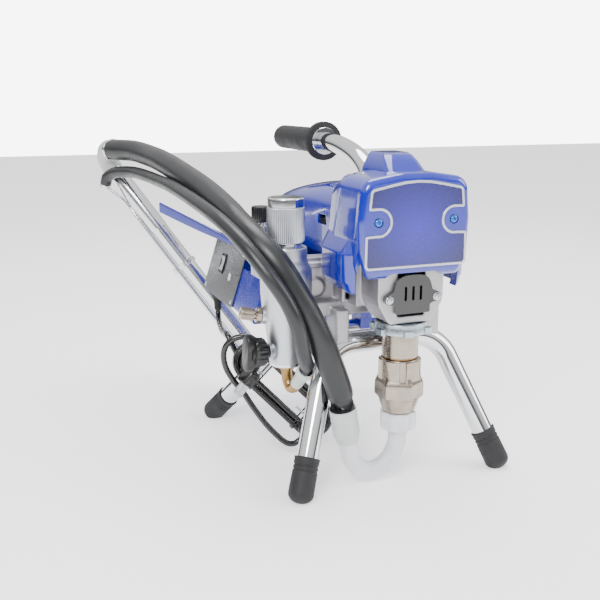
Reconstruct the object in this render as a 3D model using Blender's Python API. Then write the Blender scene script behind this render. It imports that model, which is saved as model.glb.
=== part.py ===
"""Airless paint sprayer: an electric piston pump on two chrome leg frames.

Metres, +Z up. X runs to the machine's right seen from the front, Y runs rearward.
Positions are written from the floor point midway between the front feet, and the
empty "machine_frame" moves them so that the origin is the centre of the base.
"""
import math

import bmesh
import bpy
from mathutils import Matrix, Vector

# ---- clearances
GAP = 0.0003                 # between touching pieces
RUN = 0.0004                 # round a turning or sliding piece

# ---- stand: two bent chrome tubes
FRAME_SHIFT = Vector((0.0144, -0.1930, 0.0))
LEG_TUBE_R = 0.0127
LEG_BEND_R = 0.045
CAP_WALL = 0.0018
CAP_LENGTH = 0.040
FRONT_TRACK = 0.130          # half the distance between the front feet
FRONT_BAR = (0.0704, 0.0616, 0.158)    # bend corner: half width, Y, Z
REAR_TRACK = 0.148
REAR_FOOT_Y = 0.296
REAR_BAR = (0.0760, 0.174, 0.140)

# ---- pump, on a vertical axis
PUMP_Y = 0.020
CYLINDER_R = 0.0204
CYLINDER_BORE_R = 0.0140
PISTON_ROD_R = 0.0070
STROKE = 0.016
SUCTION_TUBE_R = 0.01075
SEAT_Z = 0.103               # top of the intake seat
NOSE_FLOOR_Z = 0.192
POCKET_FLOOR_Z = 0.200

# ---- drive
CRANK_Z = 0.262
MOTOR_Z = 0.280
CRANK_TEETH, SMALL_TEETH, CRANK_MODULE = 26, 8, 0.0024
BIG_TEETH, PINION_TEETH, MOTOR_MODULE = 19, 7, 0.0020
BACKLASH = 0.0004            # added to each gear centre distance
CRANK_GEAR_Y = (0.063, 0.073)
BIG_GEAR_Y = (0.0765, 0.0865)
ROD_LENGTH = 0.046
ROD_Y = (0.010, 0.030)
ROD_EYE_R = 0.0135
ROD_FOOT_R = 0.0070
MOTOR_R = 0.033
MOTOR_Y = (0.1100, 0.2500)

# ---- covers
COVER_WALL = 0.003
COVER_Y = (-0.010, 0.0798)
SHROUD_Y = (0.0802, 0.335)
SHROUD_WALL = 0.0025

# ---- filter manifold, on a vertical axis beside the pump
FILTER_X, FILTER_Y = -0.117, 0.073
FILTER_CAP_R = 0.0208
FILTER_BODY_R = 0.0235
FILTER_BORE_R = 0.0140
FILTER_Z = (0.137, 0.272)
CAP_Z = (0.2775, 0.327)

# ---- control box under the motor
BOX_Y = (0.140, 0.360)
BOX_Z = (0.168, 0.243)
BOX_LEFT_X = (-0.136, -0.112)      # left edge at the bottom and at the top
BOX_RIGHT_X = 0.056
BOX_WALL = 0.002
PANEL_Y = (0.222, 0.356)
PANEL_T = 0.0015

# ---- hoses, tubes and cord
SUCTION_HOSE_R = 0.0147
DRAIN_HOSE_R = 0.0080
SUCTION_PIPE_R = 0.0122
DRAIN_PIPE_R = 0.0037
CORD_R = 0.0037

FINISHES = {
    "chrome": ((0.75, 0.76, 0.78), 1.0, 0.08),
    "rubber": ((0.025, 0.025, 0.028), 0.0, 0.75),
    "cast": ((0.42, 0.41, 0.42), 0.9, 0.50),
    "blue": ((0.01, 0.04, 0.42), 0.0, 0.18),
    "navy": ((0.012, 0.014, 0.19), 0.0, 0.30),
    "black": ((0.02, 0.02, 0.022), 0.0, 0.30),
    "zinc": ((0.60, 0.64, 0.68), 1.0, 0.30),
    "nickel": ((0.40, 0.36, 0.32), 1.0, 0.28),
    "steel": ((0.45, 0.45, 0.46), 1.0, 0.25),
    "nylon": ((0.62, 0.62, 0.64), 0.0, 0.40),
    "aluminium": ((0.70, 0.70, 0.72), 1.0, 0.30),
    "bronze": ((0.50, 0.36, 0.22), 1.0, 0.30),
    "grey_plastic": ((0.32, 0.32, 0.31), 0.0, 0.50),
}

X_AXIS, Y_AXIS, Z_AXIS = Vector((1, 0, 0)), Vector((0, 1, 0)), Vector((0, 0, 1))


# ======================================================================= helpers
def clear_scene():
    for old in list(bpy.data.objects):
        bpy.data.objects.remove(old, do_unlink=True)


def finish(key):
    material = bpy.data.materials.get(key)
    if material is None:
        colour, metallic, roughness = FINISHES[key]
        material = bpy.data.materials.new(key)
        material.use_nodes = True
        shader = material.node_tree.nodes["Principled BSDF"]
        shader.inputs["Base Color"].default_value = (*colour, 1)
        shader.inputs["Metallic"].default_value = metallic
        shader.inputs["Roughness"].default_value = roughness
    return material


def frame_empty():
    empty = bpy.data.objects.new("machine_frame", None)
    empty.location = FRAME_SHIFT
    bpy.context.scene.collection.objects.link(empty)
    return empty


def add(name, shape, key=None, place=None):
    """Link a bmesh as an object; with no finish key it is a hidden cutter or helper."""
    bmesh.ops.recalc_face_normals(shape, faces=shape.faces)
    mesh = bpy.data.meshes.new(name)
    shape.to_mesh(mesh)
    shape.free()
    mesh.shade_smooth()
    mesh.set_sharp_from_angle(angle=math.radians(32))
    obj = bpy.data.objects.new(name, mesh)
    bpy.context.scene.collection.objects.link(obj)
    obj.parent = bpy.data.objects["machine_frame"]
    obj.matrix_basis = place or Matrix()
    if key:
        mesh.materials.append(finish(key))
    else:
        obj.hide_render = True
        obj.display_type = "WIRE"
        obj.hide_set(True)
    return obj


def boolean(obj, shape, operation="DIFFERENCE", place=None):
    """Cut a bmesh out of obj, or join it on. place is the shape's own placement."""
    name = f"{obj.name}.{operation.lower()}_{len(obj.modifiers)}"
    other = add(name, shape, place=place)
    modifier = obj.modifiers.new(name, "BOOLEAN")
    modifier.object = other
    modifier.operation = operation
    modifier.solver = "EXACT"
    return obj


def cut(obj, shape, place=None):
    return boolean(obj, shape, "DIFFERENCE", place)


def join(obj, shape, place=None):
    return boolean(obj, shape, "UNION", place)


def at(x, y, z, along=None, turn=0.0):
    """Placement at a point, with local +Z turned to the direction along."""
    matrix = Matrix.Translation((x, y, z))
    if along is not None:
        matrix @= Vector(along).to_track_quat("Z", "Y").to_matrix().to_4x4()
    return matrix @ Matrix.Rotation(turn, 4, "Z")


def ring_radius(kind, radius, angle):
    """Radius of a ring at an angle: round, hexagonal, or lobed as (lobes, depth)."""
    if kind == "round":
        return radius
    if kind == "hex":
        sixth = math.pi / 3
        return radius / math.cos((angle + sixth / 2) % sixth - sixth / 2)
    lobes, depth = kind
    return radius + depth * math.cos(lobes * angle)


def stack(rings, sides=18, closed=False):
    """Turned solid from rings (radius, z) or (radius, z, kind), outer side first.

    A radius of 0 is a point on the axis. closed joins the last ring to the first,
    which makes a bored piece.
    """
    shape = bmesh.new()
    loops = []
    for radius, z, *kind in rings:
        kind = kind[0] if kind else "round"
        if radius == 0:
            loops.append([shape.verts.new((0, 0, z))])
            continue
        loop = []
        for i in range(sides):
            angle = 2 * math.pi * i / sides
            r = ring_radius(kind, radius, angle)
            loop.append(shape.verts.new((r * math.cos(angle), r * math.sin(angle), z)))
        loops.append(loop)
    pairs = list(zip(loops, loops[1:]))
    if closed:
        pairs.append((loops[-1], loops[0]))
    for upper, lower in pairs:
        bridge(shape, upper, lower)
    if not closed:
        for loop in (loops[0], loops[-1]):
            if len(loop) > 1:
                shape.faces.new(loop)
    return shape


def bridge(shape, upper, lower):
    count = max(len(upper), len(lower))
    for i in range(count):
        j = (i + 1) % count
        if len(upper) == 1:
            shape.faces.new((upper[0], lower[i], lower[j]))
        elif len(lower) == 1:
            shape.faces.new((upper[i], lower[0], upper[j]))
        else:
            shape.faces.new((upper[i], lower[i], lower[j], upper[j]))


def loft(sections):
    """Solid through sections of equal point count, capped at both ends."""
    shape = bmesh.new()
    loops = [[shape.verts.new(p) for p in section] for section in sections]
    for upper, lower in zip(loops, loops[1:]):
        bridge(shape, upper, lower)
    shape.faces.new(loops[0])
    shape.faces.new(loops[-1])
    return shape


def prism(outline, low, high, axis="Y"):
    """Outline extruded along an axis: (x, z) points along Y, (x, y) along Z, (y, z) along X."""
    def point(a, b, c):
        return {"Y": (a, c, b), "Z": (a, b, c), "X": (c, a, b)}[axis]
    return loft([[point(a, b, c) for a, b in outline] for c in (low, high)])


def box(low, high, bevel=0.0):
    shape = bmesh.new()
    bmesh.ops.create_cube(shape, size=1.0)
    for vert in shape.verts:
        vert.co = [lo + (hi - lo) * (c + 0.5) for c, lo, hi in zip(vert.co, low, high)]
    if bevel:
        bmesh.ops.bevel(shape, geom=shape.edges[:], offset=bevel, segments=2,
                        profile=0.5, affect="EDGES")
    return shape


def cylinder(radius, low, high, sides=16):
    return stack([(radius, high), (radius, low)], sides)


def tube_ring(outer, inner, low, high, sides=20):
    return stack([(outer, high), (outer, low), (inner, low), (inner, high)], sides, closed=True)


def arc(cx, cz, radius, start, end, steps):
    """Points on an arc in degrees, both ends included."""
    return [(cx + radius * math.cos(math.radians(start + (end - start) * i / steps)),
             cz + radius * math.sin(math.radians(start + (end - start) * i / steps)))
            for i in range(steps + 1)]


def mirrored(half):
    """Close a half outline of (x, z) points, listed bottom to top on +X, across X = 0."""
    left = [(-x, z) for x, z in reversed(half) if x > 1e-6]
    return list(half) + left


def grown(outline, amount):
    """Outline moved outward by amount, inward if it is negative."""
    moved = []
    count = len(outline)
    area = sum(outline[i - 1][0] * outline[i][1] - outline[i][0] * outline[i - 1][1]
               for i in range(count))
    side = 1 if area > 0 else -1
    for i in range(count):
        before, here, after = (Vector(outline[j % count]) for j in (i - 1, i, i + 1))
        a, b = (here - before).normalized(), (after - here).normalized()
        normal = Vector((a.y + b.y, -a.x - b.x)).normalized() * side
        lean = max(0.5, normal.dot(Vector((a.y, -a.x)) * side))
        moved.append(tuple(here + normal * amount / lean))
    return moved


def smooth_path(points, step):
    """Points about a step apart on a Catmull-Rom curve through the given points."""
    points = [Vector(p) for p in points]
    ends = [2 * points[0] - points[1], *points, 2 * points[-1] - points[-2]]
    fine = []
    for a, b, c, d in zip(ends, ends[1:], ends[2:], ends[3:]):
        for i in range(24):
            t = i / 24
            fine.append(0.5 * (2 * b + (c - a) * t + (2 * a - 5 * b + 4 * c - d) * t * t
                               + (3 * b - a - 3 * c + d) * t ** 3))
    fine.append(points[-1])
    lengths = [0.0]
    for a, b in zip(fine, fine[1:]):
        lengths.append(lengths[-1] + (b - a).length)
    count = max(2, round(lengths[-1] / step))
    out, j = [], 0
    for i in range(count + 1):
        want = lengths[-1] * i / count
        while j < len(fine) - 2 and lengths[j + 1] < want:
            j += 1
        share = (want - lengths[j]) / (lengths[j + 1] - lengths[j])
        out.append(fine[j].lerp(fine[j + 1], share))
    return out


def sweep(path, radius, sides=12):
    """Round bar along a path, as a closed mesh."""
    shape = bmesh.new()
    path = [Vector(p) for p in path]
    tangents = [(path[min(i + 1, len(path) - 1)] - path[max(i - 1, 0)]).normalized()
                for i in range(len(path))]
    normal = tangents[0].orthogonal().normalized()
    loops = []
    for here, tangent in zip(path, tangents):
        normal = (normal - tangent * normal.dot(tangent)).normalized()
        side = tangent.cross(normal)
        loops.append([shape.verts.new(here + radius * (normal * math.cos(a) + side * math.sin(a)))
                      for a in (2 * math.pi * i / sides for i in range(sides))])
    for upper, lower in zip(loops, loops[1:]):
        bridge(shape, upper, lower)
    shape.faces.new(loops[0])
    shape.faces.new(loops[-1])
    return shape


def flexible(name, points, radius, key, step, resolution=2):
    """A hose or cord: a curve with a round bevel and filled caps."""
    curve = bpy.data.curves.new(name, "CURVE")
    curve.dimensions = "3D"
    curve.bevel_depth = radius
    curve.bevel_resolution = resolution
    curve.use_fill_caps = True
    points = [Vector(p) for p in points]
    lead = (points[1] - points[0]).normalized() * radius * 0.8
    trail = (points[-1] - points[-2]).normalized() * radius * 0.8
    inner = smooth_path([points[0] + lead, *points[1:-1], points[-1] - trail], step)
    route = [points[0], *inner, points[-1]]
    spline = curve.splines.new("POLY")
    spline.points.add(len(route) - 1)
    for point, place in zip(spline.points, route):
        point.co = (*place, 1)
    curve.materials.append(finish(key))
    obj = bpy.data.objects.new(name, curve)
    obj.parent = bpy.data.objects["machine_frame"]
    bpy.context.scene.collection.objects.link(obj)
    return obj


def gear_outline(teeth, module, phase, tooth=True):
    """Spur gear outline with straight-sided teeth; a tooth, or a gap, is centred on phase."""
    pitch = 2 * math.pi / teeth
    pitch_r = teeth * module / 2
    root, tip = pitch_r - 1.1 * module, pitch_r + 0.75 * module
    start = phase if tooth else phase + pitch / 2
    points = []
    for i in range(teeth):
        centre = start + i * pitch
        for share, radius in ((-0.24, root), (-0.10, tip), (0.10, tip), (0.24, root)):
            angle = centre + share * pitch
            points.append((radius * math.cos(angle), radius * math.sin(angle)))
    return points


def circle_meeting(a, radius_a, b, radius_b):
    """The point on the +X side at radius_a from a and radius_b from b."""
    a, b = Vector(a), Vector(b)
    apart = (b - a).length
    along = (radius_a ** 2 - radius_b ** 2 + apart ** 2) / (2 * apart)
    across = math.sqrt(radius_a ** 2 - along ** 2)
    way = (b - a) / apart
    return a + way * along + Vector((way.y, -way.x)) * across


# ======================================================================= stand
def tube_end_height(up):
    """Height of the tube end's centre that keeps its low edge just off the floor."""
    return LEG_TUBE_R * math.sqrt(1 - up.z ** 2) + 0.0025


def leg_path(track, foot_y, bar):
    """Half-symmetric U: foot, bend, crossbar, bend, foot."""
    corner = Vector(bar)
    foot = Vector((track, foot_y, 0))
    up = (corner - foot).normalized()
    start = foot + up * (tube_end_height(up) / up.z)
    turn = math.acos(max(-1, min(1, up.dot(-X_AXIS))))
    tangent = LEG_BEND_R * math.tan(turn / 2)
    first, last = corner - up * tangent, corner - X_AXIS * tangent
    centre = first + ((last - first) - up * (last - first).dot(up)).normalized() * LEG_BEND_R
    half = [start]
    steps = 5
    for i in range(steps + 1):
        angle = turn * i / steps
        spoke = first - centre
        half.append(centre + spoke * math.cos(angle) + up * LEG_BEND_R * math.sin(angle))
    return half + [Vector((-p.x, p.y, p.z)) for p in reversed(half)]


def leg(name, track, foot_y, bar):
    return add(name, sweep(leg_path(track, foot_y, bar), LEG_TUBE_R, 12), "chrome")


def foot(name, x, y, bar):
    """Rubber cap round the tube end, ground flat where it stands."""
    corner = Vector((math.copysign(bar[0], x), bar[1], bar[2]))
    up = (corner - Vector((x, y, 0))).normalized()
    outer = LEG_TUBE_R + CAP_WALL
    bore = LEG_TUBE_R + 0.0005
    sunk = 0.0102
    rings = [(outer - 0.001, CAP_LENGTH), (outer, CAP_LENGTH - 0.001), (outer, 0.0)]
    rings += [(outer * math.cos(a), -outer * 0.75 * math.sin(a))
              for a in (math.radians(d) for d in (25, 50, 72))]
    rings += [(0, -outer * 0.75)]
    cap = add(name, stack(rings, 12), "rubber", at(x, y, 0, up) @ Matrix.Translation((0, 0, sunk)))
    inside = tube_end_height(up) / up.z - sunk - GAP
    cut(cap, cylinder(bore, inside, CAP_LENGTH + 0.01, 12),
        at(x, y, 0, up) @ Matrix.Translation((0, 0, sunk)))
    cut(cap, box((x - 0.04, y - 0.04, -0.03), (x + 0.04, y + 0.04, 0.0)))
    return cap


def stand():
    leg("front_leg", FRONT_TRACK, 0.0, FRONT_BAR)
    leg("rear_leg", REAR_TRACK, REAR_FOOT_Y, REAR_BAR)
    for side, sign in (("left", -1), ("right", 1)):
        foot(f"foot_front_{side}", sign * FRONT_TRACK, 0.0, FRONT_BAR)
        foot(f"foot_rear_{side}", sign * REAR_TRACK, REAR_FOOT_Y, REAR_BAR)


# ======================================================================= drive
def gear_case_outline(half=0.054, low=0.205, high=0.328):
    return [(-half, low), (half, low), (half, 0.300), (0.034, high), (-0.034, high), (-half, 0.300)]


def drive_housing():
    """Cast gear case with a side wing that carries the filter and two posts on the legs."""
    front, back = 0.0605, MOTOR_Y[0] - GAP
    case = add("drive_housing", prism(gear_case_outline(), front, back), "cast")
    wing_face = 0.085
    wing = [(-0.112, 0.205), (-0.045, 0.205), (-0.045, 0.2552), (-0.112, 0.2552)]
    join(case, prism(wing, wing_face, 0.107))
    join(case, prism([(-0.104, 0.1895), (0.060, 0.1895), (0.060, 0.2065), (-0.104, 0.2065)],
                     0.066, 0.104))
    join(case, prism([(-0.100, 0.244), (-0.047, 0.244), (-0.047, 0.250), (-0.100, 0.250)],
                     wing_face - 0.004, wing_face + 0.002))
    for sign in (-1, 1):
        low, high = sorted((sign * 0.0500, sign * 0.0660))
        join(case, box((low, 0.048, 0.160), (high, 0.078, 0.1900 + 0.01)))
    cut(case, prism(grown(gear_case_outline(), -0.005), front - 0.01, 0.0935))
    centre = intermediate_centre()
    for x, z, radius in ((0, CRANK_Z, 0.006), (centre.x, centre.y, 0.005), (0, MOTOR_Z, 0.010)):
        deep = back + 0.01 if radius == 0.010 else 0.104
        cut(case, cylinder(radius + RUN, 0.09, deep, 12), at(x, 0, z, Y_AXIS))
    cut(case, cylinder(FILTER_BODY_R + 0.0062, 0.12, 0.30, 24), at(FILTER_X, FILTER_Y, 0))
    cut(case, sweep(leg_path(FRONT_TRACK, 0.0, FRONT_BAR), LEG_TUBE_R + 0.0008, 12))
    join(case, plug_face(), at(-0.0775, wing_face + 0.001, 0.2205, -Y_AXIS))
    return case


def plug_face():
    """Machined round plug face on the wing, with a groove round it."""
    return stack([(0.0105, 0.0035), (0.0112, 0.0028), (0.0112, 0.0018), (0.0125, 0.0018),
                  (0.0125, 0.0)], 16)


def bearing_housing():
    """Casting in front of the gears: a bearing wall and the nose that holds the pump."""
    wall = [(-0.046, 0.205), (0.046, 0.205), (0.046, 0.300), (0.030, 0.322), (-0.030, 0.322),
            (-0.046, 0.300)]
    body = add("bearing_housing", prism(wall, 0.040, 0.0602), "cast")
    half = [(0.0, NOSE_FLOOR_Z), (0.0245, NOSE_FLOOR_Z), (0.0285, 0.196), (0.0385, 0.213),
            (0.0400, 0.220), (0.0400, 0.262), (0.0, 0.262)]
    join(body, prism(mirrored(half), -0.0020, 0.0420))
    cut(body, box((-0.0165, -0.02, POCKET_FLOOR_Z), (0.0165, 0.0395, 0.290)))
    sweep_room = ROD_EYE_R + STROKE / 2 + 0.0010
    cut(body, box((-sweep_room, 0.0060, 0.2385), (sweep_room, 0.0390, 0.288)))
    cut(body, cylinder(0.0160 + GAP, 0.18, POCKET_FLOOR_Z + 0.002, 20), at(0, PUMP_Y, 0))
    cut(body, cylinder(0.0165 + 0.0008, 0.030, 0.07, 20), at(0, 0, CRANK_Z, Y_AXIS))
    for sign in (-1, 1):
        cut(body, cylinder(0.0022, -0.03, 0.010, 16), at(sign * 0.029, 0, 0.221, Y_AXIS))
    return body


def crank():
    """Gear, journal and the offset pin that drives the connecting rod, in one forging."""
    centre = intermediate_centre()
    toward = math.atan2(centre.y - CRANK_Z, centre.x)
    outline = gear_outline(CRANK_TEETH, CRANK_MODULE, toward)
    gear = add("crank_gear", prism(outline, *CRANK_GEAR_Y), "steel", at(0, 0, CRANK_Z))
    shaft = stack([(0.0060, -0.1035), (0.0060, -CRANK_GEAR_Y[1] + 0.0005), (0.0120, -0.0725),
                   (0.0120, -0.0405), (0.0150, -0.0395), (0.0150, -0.0325)], 16)
    join(gear, shaft, at(0, 0, CRANK_Z, -Y_AXIS))
    pin = cylinder(0.0055, -0.0345, -ROD_Y[0] + 0.001, 16)
    join(gear, pin, at(0, 0, CRANK_Z + STROKE / 2, -Y_AXIS))
    add("crank_bearing", tube_ring(0.0165, 0.0120 + RUN, 0.0420, 0.0580, 16), "bronze",
        at(0, 0, CRANK_Z, Y_AXIS))


def intermediate_centre():
    """Centre of the intermediate gear as (x, z), from the two gear centre distances."""
    to_crank = (CRANK_TEETH + SMALL_TEETH) * CRANK_MODULE / 2 + BACKLASH
    to_motor = (BIG_TEETH + PINION_TEETH) * MOTOR_MODULE / 2 + BACKLASH
    return circle_meeting((0, CRANK_Z), to_crank, (0, MOTOR_Z), to_motor)


def intermediate_gear():
    centre = intermediate_centre()
    to_crank = math.atan2(CRANK_Z - centre.y, -centre.x)
    to_motor = math.atan2(MOTOR_Z - centre.y, -centre.x)
    place = at(centre.x, 0, centre.y)
    big = gear_outline(BIG_TEETH, MOTOR_MODULE, to_motor)
    gear = add("intermediate_gear", prism(big, *BIG_GEAR_Y), "steel", place)
    small = gear_outline(SMALL_TEETH, CRANK_MODULE, to_crank, tooth=False)
    join(gear, prism(small, CRANK_GEAR_Y[0], BIG_GEAR_Y[0] + 0.001), place)
    join(gear, cylinder(0.0050, 0.0855, 0.1030, 12), at(centre.x, 0, centre.y, Y_AXIS))
    return gear


def connecting_rod():
    """Forked rod: a round eye on the crank pin and two cheeks either side of the piston rod."""
    pin_z = CRANK_Z + STROKE / 2
    foot_z = -ROD_LENGTH
    outline = arc(0, 0, ROD_EYE_R, 230, -50, 10) + [(ROD_FOOT_R, -0.022)]
    outline += arc(0, foot_z, ROD_FOOT_R, 0, -180, 6) + [(-ROD_FOOT_R, -0.022)]
    rod = add("connecting_rod", prism(outline, *ROD_Y), "steel", at(0, 0, pin_z))
    cut(rod, cylinder(0.0055 + RUN, 0.0, 0.05, 16), at(0, 0, pin_z, Y_AXIS))
    slot_top = pin_z - 0.0155
    cut(rod, box((-0.02, PUMP_Y - 0.0036, pin_z - 0.08), (0.02, PUMP_Y + 0.0036, slot_top)))
    cut(rod, cylinder(0.0030, 0.0, 0.05, 12), at(0, 0, pin_z - ROD_LENGTH, Y_AXIS))
    return rod


def motor():
    front, rear = MOTOR_Y
    inner = MOTOR_R - 0.0025
    add("motor_can", tube_ring(MOTOR_R, inner, front, rear, 24), "steel", at(0, 0, MOTOR_Z, Y_AXIS))
    bell = stack([(MOTOR_R, rear + GAP), (MOTOR_R, rear + 0.006), (0.024, rear + 0.016),
                  (0.014, rear + 0.030), (0.0040 + RUN, rear + 0.030),
                  (0.0040 + RUN, rear + 0.020), (0.020, rear + 0.010), (0.0295, rear + GAP)],
                 24, closed=True)
    add("motor_end_bell", bell, "cast", at(0, 0, MOTOR_Z, Y_AXIS))
    centre = intermediate_centre()
    toward = math.atan2(centre.y - MOTOR_Z, centre.x)
    pinion = gear_outline(PINION_TEETH, MOTOR_MODULE, toward, tooth=False)
    rotor = add("motor_rotor", prism(pinion, BIG_GEAR_Y[0], BIG_GEAR_Y[1] + 0.002), "steel",
                at(0, 0, MOTOR_Z))
    shaft = stack([(0.0040, BIG_GEAR_Y[1]), (0.0040, 0.1180), (0.0270, 0.1185), (0.0270, 0.1230),
                   (0.0060, 0.1235), (0.0060, 0.1400), (0.0250, 0.1405), (0.0250, 0.2050),
                   (0.0060, 0.2055), (0.0060, 0.2150), (0.0140, 0.2155), (0.0140, 0.2350),
                   (0.0040, 0.2355), (0.0040, rear + 0.027)], 14)
    join(rotor, shaft, at(0, 0, MOTOR_Z, Y_AXIS))


# ======================================================================= covers
def cover_outline(top=0.356, half=0.066, low=0.228):
    """Front view of the front cover: flat skirt, bulged sides, arched crown."""
    half_points = [(0.0, low), (half - 0.014, low), (half - 0.006, low + 0.010),
                   (half, low + 0.030), (half + 0.0005, low + 0.050), (half - 0.003, top - 0.034)]
    half_points += arc(half - 0.0225, top - 0.0245, 0.0160, 15, 68, 4)
    half_points += [(0.020, top - 0.0015), (0.0, top)]
    return mirrored(half_points)


def front_cover():
    """Moulded blue cover over the gears: shell, cheeks with two slots, hump, skirt opening."""
    front, rear = COVER_Y
    full = cover_outline()
    face = grown(cover_outline(low=0.249), -0.0055)
    flat = grown(cover_outline(low=0.244), -0.0015)
    rear_face = cover_outline(top=0.3440, half=0.0625)
    sections = [(face, front), (flat, front + 0.0035), (full, front + 0.011), (full, 0.050),
                (rear_face, rear)]
    shell = add("front_cover", loft([[(x, y, z) for x, z in line] for line, y in sections]), "blue")
    cheek = [(0.0585, 0.2265), (0.0665, 0.2265), (0.0735, 0.236), (0.0750, 0.270), (0.0640, 0.288),
             (0.0585, 0.290)]
    for sign in (-1, 1):
        root = cheek[0][0]
        ends = [[(sign * (root + (x - root) * share), y, z) for x, z in cheek]
                for share, y in ((0.35, 0.008), (1.0, 0.018), (1.0, 0.068), (0.8, rear))]
        join(shell, loft(ends))
    hump = [[(x * w, y, z) for x, y in ((-1, y0), (1, y0), (1, y1), (-1, y1))]
            for w, y0, y1, z in ((0.0260, 0.006, rear, 0.335), (0.0240, 0.012, rear, 0.352),
                                 (0.0175, 0.034, rear - 0.004, 0.3745))]
    join(shell, loft(hump))
    inner = [(grown(cover_outline(low=0.256), -COVER_WALL - 0.0040), front + COVER_WALL),
             (grown(full, -COVER_WALL), front + 0.013), (grown(full, -COVER_WALL), 0.050),
             (grown(rear_face, -COVER_WALL), rear + 0.004)]
    cut(shell, loft([[(x, y, z) for x, z in line] for line, y in inner]))
    cut(shell, box((-0.0600, 0.0060, 0.19), (0.0600, rear + 0.01, 0.262)))
    cut(shell, box((-0.0415, -0.0035, 0.19), (0.0415, 0.0080, 0.2625)))
    arch = [(-0.0465, 0.20), (0.0465, 0.20), (0.0465, 0.222), (0.0425, 0.234), (0.0300, 0.2500),
            (-0.0300, 0.2500), (-0.0425, 0.234), (-0.0465, 0.222)]
    cut(shell, prism(arch, -0.03, 0.0065))
    for sign in (-1, 1):
        inner_cheek = [(sign * 0.0560, 0.20), (sign * 0.0560, 0.280), (sign * 0.0640, 0.282),
                       (sign * 0.0718, 0.268), (sign * 0.0708, 0.237), (sign * 0.0660, 0.20)]
        cut(shell, prism(inner_cheek, 0.0190, rear + 0.01))
        for z in (0.2410, 0.2635):
            low, high = sorted((sign * 0.055, sign * 0.090))
            cut(shell, box((low, 0.0285, z - 0.0075), (high, 0.0325, z + 0.0075)))
        cut(shell, cylinder(0.0022, -0.02, 0.01, 16), at(sign * 0.045, 0, 0.3055, Y_AXIS))
        cut(shell, cylinder(0.0052, -0.02, front + 0.0012, 20),
            at(sign * 0.045, 0, 0.3055, Y_AXIS))
    return shell


def label_outline():
    """Notched badge outline: a round-ended notch each side lets the cover screws through."""
    half = [(0.0, 0.2557)] + arc(0.0555, 0.2612, 0.0055, -90, 0, 4) + [(0.0606, 0.2895)]
    half += [(0.0585, 0.2925)]
    half += arc(0.0450, 0.3055, 0.0130, -90, -270, 12)
    half += [(0.0550, 0.3185), (0.0568, 0.3205)]
    half += arc(0.0495, 0.3350, 0.0060, 10, 75, 4)
    half += [(0.030, 0.3450), (0.0, 0.3485)]
    return mirrored(half)


def label_and_screws():
    front = COVER_Y[0]
    add("label_plate", prism(label_outline(), front - 0.0015, front - GAP), "navy")
    for side, sign in (("left", -1), ("right", 1)):
        screw("cover_screw_" + side, sign * 0.045, 0.3055, front + 0.0010, 0.0042, 0.0018, 0.013)
        screw("rod_cover_screw_" + side, sign * 0.029, 0.221, -0.0072, 0.0042, 0.0017, 0.014)


def screw(name, x, z, seat_y, head_r, shank_r, length):
    """Button head screw with a hexagon socket; seat_y is under its head."""
    under = -seat_y
    rings = [(0, under + 0.0008), (0.0015, under + 0.0008, "hex"),
             (0.0015, under + 0.0026, "hex"), (head_r * 0.55, under + 0.0027),
             (head_r * 0.88, under + 0.0019), (head_r, under + 0.0006), (head_r, under),
             (shank_r, under), (shank_r, under - length)]
    return add(name, stack(rings, 12), "steel", at(x, 0, z, -Y_AXIS))


def rod_cover():
    """Black clip-in cover over the piston rod opening, with three slots and two screw ears."""
    half = [(0.0, 0.2040), (0.0180, 0.2040), (0.0210, 0.2055), (0.0210, 0.2130)]
    half += [(0.0265, 0.2150)] + arc(0.0290, 0.2210, 0.0055, -65, 75, 6)
    half += [(0.0235, 0.2300), (0.0215, 0.2370), (0.0175, 0.2430), (0.0110, 0.2462), (0.0, 0.2470)]
    plate = add("rod_cover", prism(mirrored(half), -0.0068, -0.0024), "black")
    for x in (-0.0092, 0.0, 0.0092):
        cut(plate, box((x - 0.0018, -0.02, 0.2185), (x + 0.0018, 0.01, 0.2345)))
    for sign in (-1, 1):
        cut(plate, cylinder(0.0022, -0.02, 0.02, 16), at(sign * 0.029, 0, 0.221, Y_AXIS))
    return plate


def shroud_section(y, half, crown, low):
    """Arch section of the motor shroud: vertical sides and a round crown."""
    points = [(half, low)]
    rise = crown - low
    for i in range(11):
        angle = math.radians(180 * i / 10)
        c, s = math.cos(angle), math.sin(angle)
        points.append((half * math.copysign(abs(c) ** 0.55, c),
                       low + rise * (0.35 + 0.65 * s ** 0.75)))
    points.append((-half, low))
    return [(x, y, z) for x, z in points]


SHROUD_SHAPE = [  # Y, half width, crown, lower edge
    (0.0802, 0.0600, 0.3375, 0.2560), (0.1400, 0.0600, 0.3360, 0.2560),
    (0.2000, 0.0590, 0.3290, 0.2560), (0.2600, 0.0560, 0.3180, 0.2570),
    (0.3000, 0.0500, 0.3070, 0.2590), (0.3230, 0.0400, 0.2960, 0.2620),
    (0.3350, 0.0250, 0.2860, 0.2650),
]
HANDLE_FOOT_Y = 0.1070


def motor_shroud():
    """Moulded blue hood over the motor, open below and in front, with side vents."""
    outer = [shroud_section(*row) for row in SHROUD_SHAPE]
    hood = add("motor_shroud", loft(outer), "blue")
    wall = SHROUD_WALL
    inner = []
    for y, half, crown, low in SHROUD_SHAPE:
        place = y - 0.01 if y == SHROUD_Y[0] else y - (0.004 if y > 0.31 else 0.0)
        inner.append(shroud_section(place, half - wall, crown - wall, low - 0.012))
    cut(hood, loft(inner))
    cut(hood, cylinder(0.0148, 0.30, 0.40, 16), at(0, HANDLE_FOOT_Y + 0.0015, 0))
    for sign in (-1, 1):
        low, high = sorted((sign * 0.052, sign * 0.070))
        cut(hood, box((low, 0.093, 0.2900), (high, 0.119, 0.3010)))
        cut(hood, box((low, 0.160, 0.2740), (high, 0.200, 0.2780)))
        cut(hood, box((low, 0.160, 0.2840), (high, 0.200, 0.2880)))
    return hood


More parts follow.
